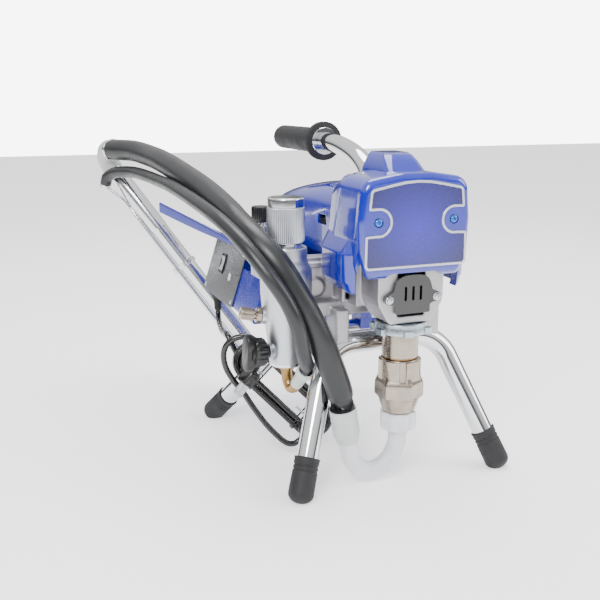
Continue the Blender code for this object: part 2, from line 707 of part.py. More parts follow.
# ======================================================================= handle
def handle():
    bar_z = 0.3775
    grip = (0.2555, 0.3960)
    route = [(0, HANDLE_FOOT_Y, 0.3320), (0, HANDLE_FOOT_Y, 0.3365), (0, 0.1160, 0.3515),
             (0, 0.1420, 0.3645), (0, 0.1850, 0.3738), (0, 0.2300, bar_z)]
    path = [(0, HANDLE_FOOT_Y, 0.3283), *smooth_path(route, 0.018)] + [(0, 0.2500, bar_z), (0, grip[1] - 0.010, bar_z)]
    bar = add("handle_post", sweep(path, 0.0115, 12), "chrome")
    join(bar, stack([(0.0235, 0.2400), (0.0250, 0.2412), (0.0250, 0.2475), (0.0235, 0.2487)], 20),
         at(0, 0, bar_z, Y_AXIS))
    outer = 0.0165
    bore = 0.0115 + 0.0006
    end = grip[1]
    rings = [(0, end), (outer - 0.007, end - 0.001), (outer - 0.002, end - 0.005),
             (outer, end - 0.012), (outer, grip[0] + 0.002), (outer - 0.0015, grip[0]),
             (bore, grip[0]), (bore, end - 0.0095), (0, end - 0.0095)]
    add("handle_grip", stack(rings, 16), "rubber", at(0, 0, bar_z, Y_AXIS))


# ======================================================================= pump
def pump():
    place = at(0, PUMP_Y, 0)
    bore = CYLINDER_BORE_R
    add("pump_cylinder", stack([
        (0.0160, POCKET_FLOOR_Z - 0.0005), (0.0160, NOSE_FLOOR_Z - 0.0003),
        (0.0180, NOSE_FLOOR_Z - 0.0003), (0.0180, 0.1780), (CYLINDER_R, 0.1780),
        (CYLINDER_R, 0.1486), (0.0170, 0.1486), (0.0170, 0.1320), (bore, 0.1320), (bore, 0.1865),
        (0.0110, 0.1875), (0.0110, POCKET_FLOOR_Z - 0.0005)], 20, closed=True), "nickel", place)
    add("packing_nut", stack([
        (0.0105, POCKET_FLOOR_Z - 0.0008), (0.0107, 0.1880), (0.0107, 0.1880 - 0.0003),
        (PISTON_ROD_R + RUN, 0.1877), (PISTON_ROD_R + RUN, POCKET_FLOOR_Z - 0.0008)],
        16, closed=True), "bronze", place)
    nut = add("jam_nut", tube_ring(0.0300, 0.0180 + RUN, 0.1785, 0.1912, 20), "zinc", place)
    for i in range(6):
        angle = math.radians(60 * i + 18)
        lug = box((0.0255, -0.0060, 0.1785), (0.0345, 0.0060, 0.1870))
        join(nut, lug, place @ Matrix.Rotation(angle, 4, "Z"))
    rod = add("piston_rod", stack([
        (PISTON_ROD_R, 0.2160), (PISTON_ROD_R, 0.1500), (bore - RUN, 0.1490),
        (bore - RUN, 0.1360), (0.0100, 0.1345)], 16), "steel", place)
    pin_z = CRANK_Z + STROKE / 2 - ROD_LENGTH
    tongue = arc(0, pin_z, 0.0062, 0, 180, 8) + [(-0.0062, 0.2120), (0.0062, 0.2120)]
    join(rod, prism(tongue, PUMP_Y - 0.0025, PUMP_Y + 0.0025))
    flats_foot = pin_z - ROD_FOOT_R - STROKE - 0.0006      # clear of the fork at its lowest
    for low, high in ((-0.02, -0.0025), (0.0025, 0.02)):
        cut(rod, box((-0.02, PUMP_Y + low, flats_foot), (0.02, PUMP_Y + high, 0.2500)))
    cut(rod, cylinder(0.0030, 0.0, 0.05, 12), at(0, 0, pin_z, Y_AXIS))
    seat_r = 0.0070
    castle = (6, 0.0010)
    add("intake_housing", stack([
        (0.0215, 0.1480), (0.0228, 0.1468, "hex"), (0.0228, 0.1250, "hex"), (0.0252, 0.1190, "hex"),
        (0.0252, 0.1050, "hex"), (0.0236, 0.1010, "hex"), (0.0190, 0.0870), (0.0190, 0.0850),
        (0.0150, 0.0850), (0.0150, 0.0795), (seat_r, 0.0795), (seat_r, SEAT_Z),
        (bore + GAP, SEAT_Z), (bore + GAP, 0.1315), (0.0170 + GAP, 0.1315),
        (0.0170 + 0.0006, 0.1480)], 18, closed=True), "nickel", place)
    ball_r = 0.0080
    ball_z = SEAT_Z + math.sqrt(ball_r ** 2 - seat_r ** 2) + 0.0004
    ball = [(ball_r * math.sin(a), ball_r * math.cos(a)) for a in
            (math.radians(180 * i / 6) for i in range(1, 6))]
    add("intake_ball", stack([(0, ball_r), *ball, (0, -ball_r)], 12), "steel",
        at(0, PUMP_Y, ball_z))
    lobes = (8, 0.0012)
    add("suction_nut", stack([
        (0.0185, 0.0838), (0.0200, 0.0826, lobes), (0.0202, 0.0650, lobes), (0.0170, 0.0620),
        (SUCTION_TUBE_R + 0.0005, 0.0620), (SUCTION_TUBE_R + 0.0005, 0.0660),
        (0.0150 + 0.0007, 0.0680), (0.0150 + 0.0007, 0.0838)], 24, closed=True), "nylon", place)


U_TUBE_ROUTE = [(0.0, PUMP_Y, 0.0790), (0.0, PUMP_Y, 0.0600), (-0.0015, PUMP_Y, 0.0430),
                (-0.0090, PUMP_Y, 0.0270), (-0.0210, PUMP_Y, 0.0175), (-0.0340, PUMP_Y, 0.0145),
                (-0.0470, PUMP_Y, 0.0190), (-0.0565, PUMP_Y, 0.0310), (-0.0618, PUMP_Y, 0.0460),
                (-0.0652, PUMP_Y, 0.0660)]


def suction_elbow():
    """Nylon U-tube from the pump intake up to the hose connector."""
    add("u_tube", sweep(smooth_path(U_TUBE_ROUTE, 0.012), SUCTION_TUBE_R, 12), "nylon")
    end = Vector(U_TUBE_ROUTE[-1])
    up = (end - Vector(U_TUBE_ROUTE[-2])).normalized()
    place = at(*end, up)
    add("hose_connector", stack([
        (0.0146, 0.0290), (0.0152, 0.0280), (0.0152, 0.0080), (0.0144, -0.0020), (0.0128, -0.0100),
        (0.0118, -0.0102), (0.0118, 0.0004), (0.0095, 0.0006), (0.0095, 0.0290)],
        16, closed=True), "grey_plastic", place)


# ======================================================================= filter side
def filter_manifold():
    place = at(FILTER_X, FILTER_Y, 0)
    low, high = FILTER_Z
    body = add("filter_manifold", stack([
        (0.0168, CAP_Z[1] - 0.020), (0.0168, high + 0.0045), (0.0180, high + 0.0040),
        (0.0180, high + 0.0005), (FILTER_BODY_R - 0.0010, high), (FILTER_BODY_R, high - 0.0015),
        (FILTER_BODY_R, 0.2560), (0.0285, 0.2480), (0.0290, 0.2400), (0.0287, 0.2250),
        (0.0195, low + 0.001), (0.0185, low), (0.0050, low), (0.0050, low + 0.020),
        (FILTER_BORE_R, low + 0.024), (FILTER_BORE_R, CAP_Z[1] - 0.020)], 22, closed=True),
        "aluminium", place)
    outlet = at(FILTER_X, FILTER_Y, OUTLET_Z, OUTLET_AXIS)
    join(body, cylinder(0.0090, 0.0165, OUTLET_FACE, 12), outlet)
    join(body, cylinder(0.0085, -0.0090, -0.0013, 12), at(*PRIME_POINT, PRIME_AXIS))
    cap_r = FILTER_CAP_R
    rings = [(0, CAP_Z[1]), (cap_r - 0.0022, CAP_Z[1]), (cap_r - 0.0008, CAP_Z[1] - 0.0014),
             (cap_r - 0.0008, CAP_Z[1] - 0.0070), (cap_r, CAP_Z[1] - 0.0085),
             (cap_r, CAP_Z[0] + 0.0015), (cap_r - 0.0015, CAP_Z[0]),
             (0.0168 + RUN, CAP_Z[0]), (0.0168 + RUN, CAP_Z[1] - 0.0190), (0, CAP_Z[1] - 0.0190)]
    add("filter_cap", stack(rings, 22), "aluminium", place)
    add("filter_element", stack([
        (0.0105, CAP_Z[1] - 0.0220), (0.0125, CAP_Z[1] - 0.0230), (0.0125, 0.2950),
        (0.0110, 0.2940), (0.0110, 0.1720), (0.0125, 0.1700), (0.0125, 0.1640),
        (0.0080, 0.1640), (0.0080, CAP_Z[1] - 0.0220)], 12, closed=True), "black", place)
    return body


OUTLET_AXIS = Vector((-1.0, 0.12, 0.18)).normalized()
OUTLET_Z, OUTLET_FACE = 0.1905, 0.0292
PRIME_AXIS = Vector((-1.0, -0.12, 0.05)).normalized()
PRIME_POINT = Vector((-0.1420, 0.0690, 0.1555))


def prime_valve():
    """Drain valve knob on the left of the manifold: a ribbed skirt and a lever grip."""
    place = at(*PRIME_POINT, PRIME_AXIS)
    knob = add("prime_knob", stack([
        (0.0120, 0.0040), (0.0155, 0.0045, (9, 0.0008)), (0.0160, 0.0150, (9, 0.0008)),
        (0.0140, 0.0180), (0.0110, 0.0190), (0.0110, 0.0250), (0, 0.0255)][::-1]
        + [(0.0060, 0.0040), (0.0060, -0.0010)], 18), "black", place)
    join(knob, box((-0.0080, -0.0210, 0.0170), (0.0080, 0.0210, 0.0270), 0.002), place)
    return knob


def filter_fittings():
    """Outlet nipple, drain elbow with its hose connector, and the pressure control."""
    start = OUTLET_FACE + GAP
    add("outlet_nipple", stack([
        (0.0065, start + 0.0240), (0.0072, start + 0.0230), (0.0072, start + 0.0095),
        (0.0050, start + 0.0090), (0.0050, start + 0.0065), (0.0082, start + 0.0060, "hex"),
        (0.0082, start, "hex"), (0.0030, start), (0.0030, start + 0.0240)], 12, closed=True),
        "nickel", at(FILTER_X, FILTER_Y, OUTLET_Z, OUTLET_AXIS))
    low = FILTER_Z[0] - GAP
    end = Vector((FILTER_X + 0.0040, FILTER_Y - 0.0195, low - 0.0190))
    start = Vector(DRAIN_HOSE_ROUTE[0])
    along = (start - end).normalized()
    route = [(FILTER_X, FILTER_Y, low), (FILTER_X, FILTER_Y - 0.0005, low - 0.0110),
             (FILTER_X + 0.0007, FILTER_Y - 0.0030, low - 0.0200),
             (FILTER_X + 0.0018, FILTER_Y - 0.0080, low - 0.0255), end - along * 0.0070, end]
    elbow = add("drain_elbow", sweep(smooth_path(route, 0.008), 0.0062, 10), "bronze")
    join(elbow, stack([(0.0080, low, "hex"), (0.0080, low - 0.0060, "hex")], 12),
         at(FILTER_X, FILTER_Y, 0))
    length = (start - end).length
    add("drain_connector", stack([
        (0.0086, length - GAP), (0.0095, length - 0.0015), (0.0095, length - 0.0090),
        (0.0072, length - 0.0130), (0.0066, 0.0008)], 14), "grey_plastic", at(*end, along))


DRAIN_HOSE_ROUTE = [
    (-0.1102, 0.0300, 0.1416), (-0.1098, 0.0258, 0.1459), (-0.1212, 0.0100, 0.1680),
    (-0.1312, 0.0010, 0.1992), (-0.1430, 0.0035, 0.2275), (-0.1604, 0.0130, 0.2562),
    (-0.1765, 0.0400, 0.2840), (-0.1850, 0.0720, 0.2985), (-0.1905, 0.0980, 0.3065),
    (-0.1975, 0.1650, 0.3170), (-0.2030, 0.2430, 0.3250), (-0.2066, 0.3000, 0.3275),
    (-0.2125, 0.3500, 0.3300), (-0.2201, 0.3950, 0.3315), (-0.2310, 0.4250, 0.3305),
    (-0.2415, 0.4480, 0.3270), (-0.2490, 0.4600, 0.3200), (-0.2505, 0.4640, 0.3110),
]
SUCTION_HOSE_ROUTE = [
    (-0.0700, 0.0200, 0.0952), (-0.0717, 0.0200, 0.1050), (-0.0768, 0.0190, 0.1235),
    (-0.0904, 0.0180, 0.1588), (-0.1019, 0.0190, 0.1857), (-0.1196, 0.0240, 0.2216),
    (-0.1399, 0.0360, 0.2593), (-0.1556, 0.0580, 0.2820), (-0.1649, 0.0950, 0.2985),
    (-0.1686, 0.1300, 0.3100), (-0.1761, 0.2000, 0.3268), (-0.1936, 0.3100, 0.3483),
    (-0.2032, 0.3700, 0.3552), (-0.2164, 0.4150, 0.3598), (-0.2383, 0.4600, 0.3599),
]


def pressure_control():
    """Pressure sensor body behind the manifold with the pressure knob on top."""
    x, y = -0.1270, 0.1300
    body = add("pressure_control", stack([
        (0.0095, 0.2930), (0.0095, 0.2895), (0.0120, 0.2890, "hex"), (0.0120, 0.2700, "hex"),
        (0.0100, 0.2690), (0.0100, 0.2475)], 12), "steel", at(x, y, 0))
    join(body, box((x - 0.010, 0.1075, 0.2300), (x + 0.012, y + 0.008, 0.2480), 0.001))
    join(body, box((-0.118, 0.1075, 0.2320), (-0.095, 0.1180, 0.2460)))
    knob = stack([(0, 0.3110), (0.0095, 0.3110), (0.0103, 0.3100),
                  (0.0103, 0.2965), (0.0095, 0.2955), (0.0095, 0.2935), (0, 0.2935)], 16)
    add("pressure_knob", knob, "black", at(x, y, 0))


# ======================================================================= control box
def box_left(z):
    share = (z - BOX_Z[0]) / (BOX_Z[1] - BOX_Z[0])
    return BOX_LEFT_X[0] + (BOX_LEFT_X[1] - BOX_LEFT_X[0]) * share


def panel_place(y, z):
    """On the sloping left face of the box: local Z out of the face, local X rearward."""
    out = Vector((-(BOX_Z[1] - BOX_Z[0]), 0, BOX_LEFT_X[1] - BOX_LEFT_X[0])).normalized()
    axes = Matrix((Y_AXIS, out.cross(Y_AXIS), out)).transposed().to_4x4()
    return Matrix.Translation((box_left(z), y, z)) @ axes


SWITCH_Y, SWITCH_Z = 0.3000, 0.2130
LAMP_Y, LAMP_Z = 0.2580, 0.2020


def control_box():
    """Folded sheet box below the motor: sloping left face, open top, clamped to the rear leg."""
    low, high = BOX_Z
    outline = [(BOX_LEFT_X[0], low), (BOX_RIGHT_X, low), (BOX_RIGHT_X, high), (BOX_LEFT_X[1], high)]
    tray = add("control_box", prism(outline, *BOX_Y), "blue")
    w = BOX_WALL
    inner = [(BOX_LEFT_X[0] + w * 1.1, low + w), (BOX_RIGHT_X - w, low + w),
             (BOX_RIGHT_X - w, high + 0.01), (box_left(high) + w * 1.1, high + 0.01)]
    cut(tray, prism(inner, BOX_Y[0] + w, BOX_Y[1] - w))
    for sign in (-1, 1):
        low_x, high_x = sorted((sign * 0.018, sign * 0.034))
        join(tray, box((low_x, 0.160, 0.1420), (high_x, 0.188, low + 0.001)))
    cut(tray, sweep(leg_path(REAR_TRACK, REAR_FOOT_Y, REAR_BAR), LEG_TUBE_R + 0.0008, 12))
    cut(tray, box((-0.0080, -0.0120, -0.02), (0.0080, 0.0120, 0.01)), panel_place(SWITCH_Y, SWITCH_Z))
    cut(tray, cylinder(0.0040, -0.02, 0.01, 12), panel_place(LAMP_Y, LAMP_Z))
    cut(tray, cylinder(0.0052, -0.02, 0.02, 12), at(STRAIN_X, STRAIN_Y, low))
    return tray


STRAIN_X, STRAIN_Y = -0.1270, 0.3180


def control_panel():
    """Bright steel face plate on the box, with the rocker switch and a lamp through it."""
    height = (Vector((BOX_LEFT_X[1], BOX_Z[1])) - Vector((BOX_LEFT_X[0], BOX_Z[0]))).length
    middle = sum(BOX_Z) / 2
    half = height / 2 - 0.001
    length = PANEL_Y[1] - PANEL_Y[0]
    centre_y = sum(PANEL_Y) / 2
    plate = add("control_panel", box((-length / 2, -half, GAP), (length / 2, half, GAP + PANEL_T)),
                "steel", panel_place(centre_y, middle))
    cut(plate, box((-0.0068, -0.0105, -0.02), (0.0068, 0.0105, 0.02)),
        panel_place(SWITCH_Y, SWITCH_Z))
    cut(plate, cylinder(0.0037, -0.02, 0.02, 12), panel_place(LAMP_Y, LAMP_Z))
    rocker = [(-0.0100, 0.0015), (-0.0060, -0.0060), (0.0060, -0.0060), (0.0100, 0.0015),
              (0.0096, 0.0045), (0.0, 0.0024), (-0.0096, 0.0045)]
    switch = prism(rocker, -0.0060, 0.0060, axis="X")
    add("power_switch", switch, "grey_plastic", panel_place(SWITCH_Y, SWITCH_Z))
    add("indicator_lamp", stack([(0, 0.0040), (0.0030, 0.0036), (0.0052, 0.0030), (0.0052, 0.0022),
                                 (0.0033, 0.0021), (0.0033, -0.0040), (0, -0.0040)], 12),
        "aluminium", panel_place(LAMP_Y, LAMP_Z))


def panel_hood():
    """Blue hood over the panel: a flared blade that widens toward the rear."""
    thick = 0.0140
    rows = [((-0.1165, 0.236, 0.2470), (-0.1120, 0.236, 0.2470)),
            ((-0.1480, 0.310, 0.2660), (-0.1100, 0.310, 0.2480)),
            ((-0.1870, 0.400, 0.2880), (-0.1450, 0.398, 0.2660))]
    sections = []
    for outer, inner in rows:
        outer, inner = Vector(outer), Vector(inner)
        sections.append([outer, inner, inner - Z_AXIS * 0.0030, outer - Z_AXIS * thick * 0.35])
    hood = add("panel_hood", loft(sections), "blue")
    lip = [Vector(row[0]) for row in rows]
    edge = []
    for p, depth in zip(lip, (0.0036, 0.0110, thick)):
        edge.append([p, p + Vector((0.0035, 0.001, 0.0)), p + Vector((0.0035, 0.001, -depth)),
                     p + Vector((0, 0, -depth))])
    join(hood, loft(edge))
    join(hood, box((-0.1160, 0.2400, 0.2436), (-0.1080, 0.3500, 0.2480)))
    return hood


# ======================================================================= suction set
SUCTION_TOP = Vector((-0.2348, 0.4815, 0.3292))
SUCTION_FOOT = Vector((-0.0560, 0.3660, 0.0590))
HEAD_R = 0.0146
HEAD_BEND_R = 0.0195
DRAIN_PIPE_OFFSET = Vector((-0.0131, 0.0027, -0.0096))     # square to the suction tube


def suction_set():
    """Suction tube with its head and strainer, and the thin drain tube clipped beside it."""
    down = (SUCTION_FOOT - SUCTION_TOP).normalized()
    length = (SUCTION_FOOT - SUCTION_TOP).length
    place = at(*SUCTION_TOP, down)
    add("suction_tube", tube_ring(SUCTION_PIPE_R, SUCTION_PIPE_R - 0.0012, 0.0, length, 16),
        "aluminium", place)
    add("strainer", stack([
        (0.0130, length + GAP), (0.0150, length + 0.003), (0.0150, length + 0.020),
        (0.0125, length + 0.024), (0, length + 0.024)], 14), "steel", place)
    start = Vector(SUCTION_HOSE_ROUTE[-1])
    ahead = (start - Vector(SUCTION_HOSE_ROUTE[-2])).normalized()
    inward = (down - ahead * down.dot(ahead)).normalized()
    start += ahead * GAP
    turn = math.acos(ahead.dot(down))
    bend = [start + HEAD_BEND_R * (ahead * math.sin(a) + inward * (1 - math.cos(a)))
            for a in (turn * i / 7 for i in range(8))]
    end = SUCTION_TOP - down * GAP
    add("suction_head", sweep([start, start + ahead * 0.003]
                              + [p + ahead * 0.003 for p in bend[1:]] + [end], HEAD_R, 12),
        "grey_plastic")
    side = DRAIN_PIPE_OFFSET - down * DRAIN_PIPE_OFFSET.dot(down)
    hose_end, before = Vector(DRAIN_HOSE_ROUTE[-1]), Vector(DRAIN_HOSE_ROUTE[-2])
    way = (hose_end - before).normalized()
    pipe = [hose_end + way * 0.006]
    pipe += [SUCTION_TOP + down * d + side for d in (0.050, 0.085, length * 0.6, length - 0.010)]
    path = [hose_end + way * GAP, *smooth_path(pipe, 0.022)]
    add("drain_tube", sweep(path, DRAIN_PIPE_R, 8), "steel")
    side_place = at(*(SUCTION_TOP + side), down)
    clip = add("tube_clip", cylinder(SUCTION_PIPE_R + 0.0026, 0.1700, 0.1780, 16), "steel", place)
    join(clip, cylinder(DRAIN_PIPE_R + 0.0026, 0.1700, 0.1780, 10), side_place)
    cut(clip, cylinder(SUCTION_PIPE_R + 0.0006, 0.16, 0.19, 16), place)
    cut(clip, cylinder(DRAIN_PIPE_R + 0.0005, 0.15, 0.20, 10), side_place)


# ======================================================================= power cord
HANK_TOP = Vector((-0.1429, 0.1750, 0.1312))       # outer ends of the tied hank
HANK_FOOT = Vector((-0.0416, 0.1320, 0.0224))
HANK_FACE = Vector((-0.1984, -0.9605, 0.1949))     # the way its flat side faces
HANK_HALF_WIDTH = 0.0262
HANK_HALF_THICK = 0.0115
CORD_ROUTE = [
    (-0.1270, 0.3180, 0.1440), (-0.1270, 0.3178, 0.1405), (-0.1290, 0.3100, 0.1335),
    (-0.1325, 0.2920, 0.1300), (-0.1385, 0.2620, 0.1300), (-0.1430, 0.2320, 0.1330),
    (-0.1475, 0.2050, 0.1380), (-0.1508, 0.1880, 0.1405), (-0.1480, 0.1785, 0.1374),
    (-0.1442, 0.1760, 0.1328),
]
TAIL_ROUTE = [
    (-0.0775, 0.1205, 0.0345), (-0.0785, 0.1200, 0.0270), (-0.0830, 0.1200, 0.0195),
    (-0.0910, 0.1205, 0.0160), (-0.1000, 0.1225, 0.0185), (-0.1110, 0.1270, 0.0290),
    (-0.1225, 0.1340, 0.0430), (-0.1340, 0.1425, 0.0610), (-0.1440, 0.1510, 0.0790),
    (-0.1560, 0.1560, 0.0960), (-0.1650, 0.1575, 0.1150), (-0.1665, 0.1560, 0.1340),
    (-0.1590, 0.1510, 0.1480), (-0.1440, 0.1465, 0.1525), (-0.1310, 0.1425, 0.1475),
    (-0.1230, 0.1395, 0.1365), (-0.1225, 0.1385, 0.1268), (-0.1286, 0.1382, 0.1190),
]
PLUG_AXIS = Vector((-0.617, -0.030, -0.786)).normalized()


def power_cord():
    """Strain relief, the cord down to its tied hank, the tail and the plug."""
    add("strain_relief", stack([
        (0.0048, 0.0035), (0.0048, -0.0005), (0.0080, -0.0008), (0.0080, -0.0040),
        (0.0062, -0.0050), (0.0046, -0.0235)], 14), "rubber", at(STRAIN_X, STRAIN_Y, BOX_Z[0]))
    flexible("power_cord", CORD_ROUTE, CORD_R, "rubber", 0.011, 2)
    flexible("cord_tail", TAIL_ROUTE, CORD_R, "rubber", 0.011, 2)
    along = (HANK_FOOT - HANK_TOP).normalized()
    face = (HANK_FACE - along * HANK_FACE.dot(along)).normalized()
    half = (HANK_FOOT - HANK_TOP).length / 2
    straight = half - HANK_HALF_WIDTH
    outline = arc(straight, 0, HANK_HALF_WIDTH, -90, 90, 8)
    outline += arc(-straight, 0, HANK_HALF_WIDTH, 90, 270, 8)
    axes = Matrix((along, face.cross(along), face)).transposed().to_4x4()
    middle = Matrix.Translation((HANK_TOP + HANK_FOOT) / 2)
    add("cord_hank", prism(outline, -HANK_HALF_THICK, HANK_HALF_THICK, "Z"), "rubber",
        middle @ axes)
    end = Vector(TAIL_ROUTE[-1]) + PLUG_AXIS * GAP
    place = at(*end, PLUG_AXIS)
    plug = add("plug", stack([(0.0042, 0.0), (0.0050, 0.0090), (0.0085, 0.0110)], 12), "rubber",
               place)
    join(plug, box((-0.0125, -0.0075, 0.0100), (0.0125, 0.0075, 0.0300), 0.0020), place)
    for x in (-0.0064, 0.0064):
        join(plug, box((x - 0.0008, -0.0032, 0.0290), (x + 0.0008, 0.0032, 0.0460)), place)


def build():
    clear_scene()
    frame_empty()
    stand()
    drive_housing()
    bearing_housing()
    crank()
    intermediate_gear()
    connecting_rod()
    motor()
    front_cover()
    label_and_screws()
    rod_cover()
    motor_shroud()
    handle()
    pump()
    suction_elbow()
    filter_manifold()
    prime_valve()
    filter_fittings()
    pressure_control()
    control_box()
    control_panel()
    panel_hood()
    suction_set()
    power_cord()
    flexible("suction_hose", SUCTION_HOSE_ROUTE, SUCTION_HOSE_R, "rubber", 0.032, 2)
    flexible("drain_hose", DRAIN_HOSE_ROUTE, DRAIN_HOSE_R, "rubber", 0.026, 2)


build()
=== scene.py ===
import math

import bmesh
import bpy
from mathutils import Matrix, Vector


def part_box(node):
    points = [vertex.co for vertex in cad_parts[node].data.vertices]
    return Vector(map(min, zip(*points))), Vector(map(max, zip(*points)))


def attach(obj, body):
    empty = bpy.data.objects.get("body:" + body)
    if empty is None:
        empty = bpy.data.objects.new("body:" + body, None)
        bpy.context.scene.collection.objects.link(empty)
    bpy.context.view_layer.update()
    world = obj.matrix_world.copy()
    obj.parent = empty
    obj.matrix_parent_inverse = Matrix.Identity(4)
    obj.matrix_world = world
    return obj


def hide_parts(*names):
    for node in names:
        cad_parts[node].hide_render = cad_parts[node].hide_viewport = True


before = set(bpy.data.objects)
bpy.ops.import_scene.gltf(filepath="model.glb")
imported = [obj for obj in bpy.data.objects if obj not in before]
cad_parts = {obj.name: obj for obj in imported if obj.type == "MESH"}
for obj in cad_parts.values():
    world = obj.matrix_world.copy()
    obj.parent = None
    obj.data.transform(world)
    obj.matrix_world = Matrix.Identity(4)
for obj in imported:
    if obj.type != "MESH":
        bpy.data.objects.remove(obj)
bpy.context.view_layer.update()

# ==================================================================== leg frames
# Two bent 25 mm steel tubes, chrome plated and polished. Their feet are pushed on and
# the gear case and the control box are clamped to their crossbars.
PUMP_Y = 0.020                      # the pump's axis, from the middle of the front feet
leg_low, leg_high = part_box("front_leg")
pump_low, pump_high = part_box("pump_cylinder")
base = Vector(((leg_low.x + leg_high.x) / 2, (pump_low.y + pump_high.y) / 2 - PUMP_Y, 0))
X_AXIS, Y_AXIS = Vector((1, 0, 0)), Vector((0, 1, 0))
LEG_TUBE_R = 0.0127
LEG_BEND_R = 0.045
FRONT_TRACK, FRONT_FOOT_Y, FRONT_BAR = 0.130, 0.0, (0.0704, 0.0616, 0.158)
REAR_TRACK, REAR_FOOT_Y, REAR_BAR = 0.148, 0.296, (0.0760, 0.174, 0.140)


def linear(colour):
    """An sRGB hex colour as the linear value a shader socket takes."""
    parts = [int(colour[i:i + 2], 16) / 255 for i in (1, 3, 5)]
    return (*((c / 12.92 if c <= 0.04045 else ((c + 0.055) / 1.055) ** 2.4) for c in parts), 1)


def add_node(tree, kind, sockets=None, **settings):
    """Add one node. sockets gives its inputs: a value, or another node's output to link."""
    node = tree.nodes.new("ShaderNode" + kind)
    for key, value in settings.items():
        setattr(node, key, value)
    for key, value in (sockets or {}).items():
        if isinstance(value, bpy.types.NodeSocket):
            tree.links.new(value, node.inputs[key])
        else:
            node.inputs[key].default_value = value
    return node


def new_finish(name, colour, metallic, roughness, **sockets):
    """A material with its main shader, and the place on the piece in metres."""
    material = bpy.data.materials.new(name)
    material.use_nodes = True
    tree = material.node_tree
    shader = tree.nodes["Principled BSDF"]
    shader.inputs["Base Color"].default_value = linear(colour)
    shader.inputs["Metallic"].default_value = metallic
    shader.inputs["Roughness"].default_value = roughness
    for key, value in sockets.items():
        shader.inputs[key.replace("_", " ")].default_value = value
    return material, tree, shader, add_node(tree, "TexCoord").outputs["Object"]


def skin(tree, shader, where, size, depth, rough=None, tint=None, stretch=(1, 1, 1), detail=3.0):
    """Grain of a size and depth in mm, with its own roughness range and two tints."""
    scaled = add_node(tree, "Mapping", {"Vector": where, "Scale": stretch}).outputs["Vector"]
    noise = add_node(tree, "TexNoise", {"Vector": scaled, "Scale": 1000 / size, "Detail": detail})
    value = noise.outputs["Fac"]
    if depth:
        bump = add_node(tree, "Bump", {"Height": value, "Distance": depth / 1000})
        before = shader.inputs["Normal"].links
        if before:
            tree.links.new(before[0].from_socket, bump.inputs["Normal"])
        tree.links.new(bump.outputs["Normal"], shader.inputs["Normal"])
    if rough:
        spread = add_node(tree, "MapRange", {"Value": value, "From Min": 0.3, "From Max": 0.7,
                                             "To Min": rough[0], "To Max": rough[1]})
        tree.links.new(spread.outputs["Result"], shader.inputs["Roughness"])
    if tint:
        mixed = add_node(tree, "Mix", {"Factor": value, 6: linear(tint[0]), 7: linear(tint[1])},
                         data_type="RGBA")
        tree.links.new(mixed.outputs[2], shader.inputs["Base Color"])


# Chrome plate on polished steel: a mirror, with wiping haze in patches of about 40 mm.
chrome, *parts = new_finish("chrome_plate", "#dcdde0", 1.0, 0.05)
skin(*parts, 40, 0, rough=(0.03, 0.10))
skin(*parts, 6, 0.004)


def bridge(shape, upper, lower):
    """Faces between two rings of points; a ring of one point is a tip."""
    count = max(len(upper), len(lower))
    for i in range(count if count > 1 else 0):
        j = (i + 1) % count
        if len(upper) == 1:
            shape.faces.new((upper[0], lower[i], lower[j]))
        elif len(lower) == 1:
            shape.faces.new((upper[i], lower[0], upper[j]))
        else:
            shape.faces.new((upper[i], lower[i], lower[j], upper[j]))


def loft(sections, ring=False, capped=True):
    """Skin through sections of equal point count: capped, open, or closed into a ring."""
    shape = bmesh.new()
    loops = [[shape.verts.new(p) for p in section] for section in sections]
    for upper, lower in zip(loops, loops[1:] + (loops[:1] if ring else [])):
        bridge(shape, upper, lower)
    if capped and not ring:
        for loop in (loops[0], loops[-1]):
            if len(loop) > 2:
                shape.faces.new(loop)
    return shape


def round_bar(path, radius, sides=40, ring=False, flat=1.0):
    """Bar along a path. radius is a number, or a function of the share of the way."""
    path = [Vector(p) for p in path]
    last = len(path) - 1
    sections, normal = [], None
    for i, here in enumerate(path):
        before = path[i - 1] if i or ring else here
        after = path[(i + 1) % len(path)] if i < last or ring else here
        tangent = (after - before).normalized()
        normal = tangent.orthogonal() if normal is None else normal - tangent * normal.dot(tangent)
        normal = normal.normalized()
        side = tangent.cross(normal)
        r = radius(i / last) if callable(radius) else radius
        sections.append([here + r * (normal * math.cos(a) + side * math.sin(a) * flat)
                         for a in (2 * math.pi * j / sides for j in range(sides))])
    return loft(sections, ring)


def set_shading(obj, sharp=32):
    obj.data.shade_smooth()
    obj.data.set_sharp_from_angle(angle=math.radians(sharp))


def piece(name, shape, material, place=None, body="machine", replaces=(), edge=0.0):
    """A finished piece from a shape in the machine's own frame, riding on its body."""
    bmesh.ops.recalc_face_normals(shape, faces=shape.faces)
    shape.transform(Matrix.Translation(base) @ (place or Matrix()))
    mesh = bpy.data.meshes.new(name)
    shape.to_mesh(mesh)
    shape.free()
    mesh.materials.append(material)
    obj = bpy.data.objects.new(name, mesh)
    bpy.context.scene.collection.objects.link(obj)
    set_shading(obj)
    if edge:
        soften(obj, edge)
    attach(obj, body)
    if replaces:
        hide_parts(*replaces)
    return obj


def soften(obj, width, segments=3):
    """Round every sharp edge to a width in metres."""
    bevel = obj.modifiers.new("edge", "BEVEL")
    bevel.width = width
    bevel.segments = segments
    bevel.limit_method = "ANGLE"
    bevel.angle_limit = math.radians(35)
    obj.modifiers.new("flats", "WEIGHTED_NORMAL").keep_sharp = True


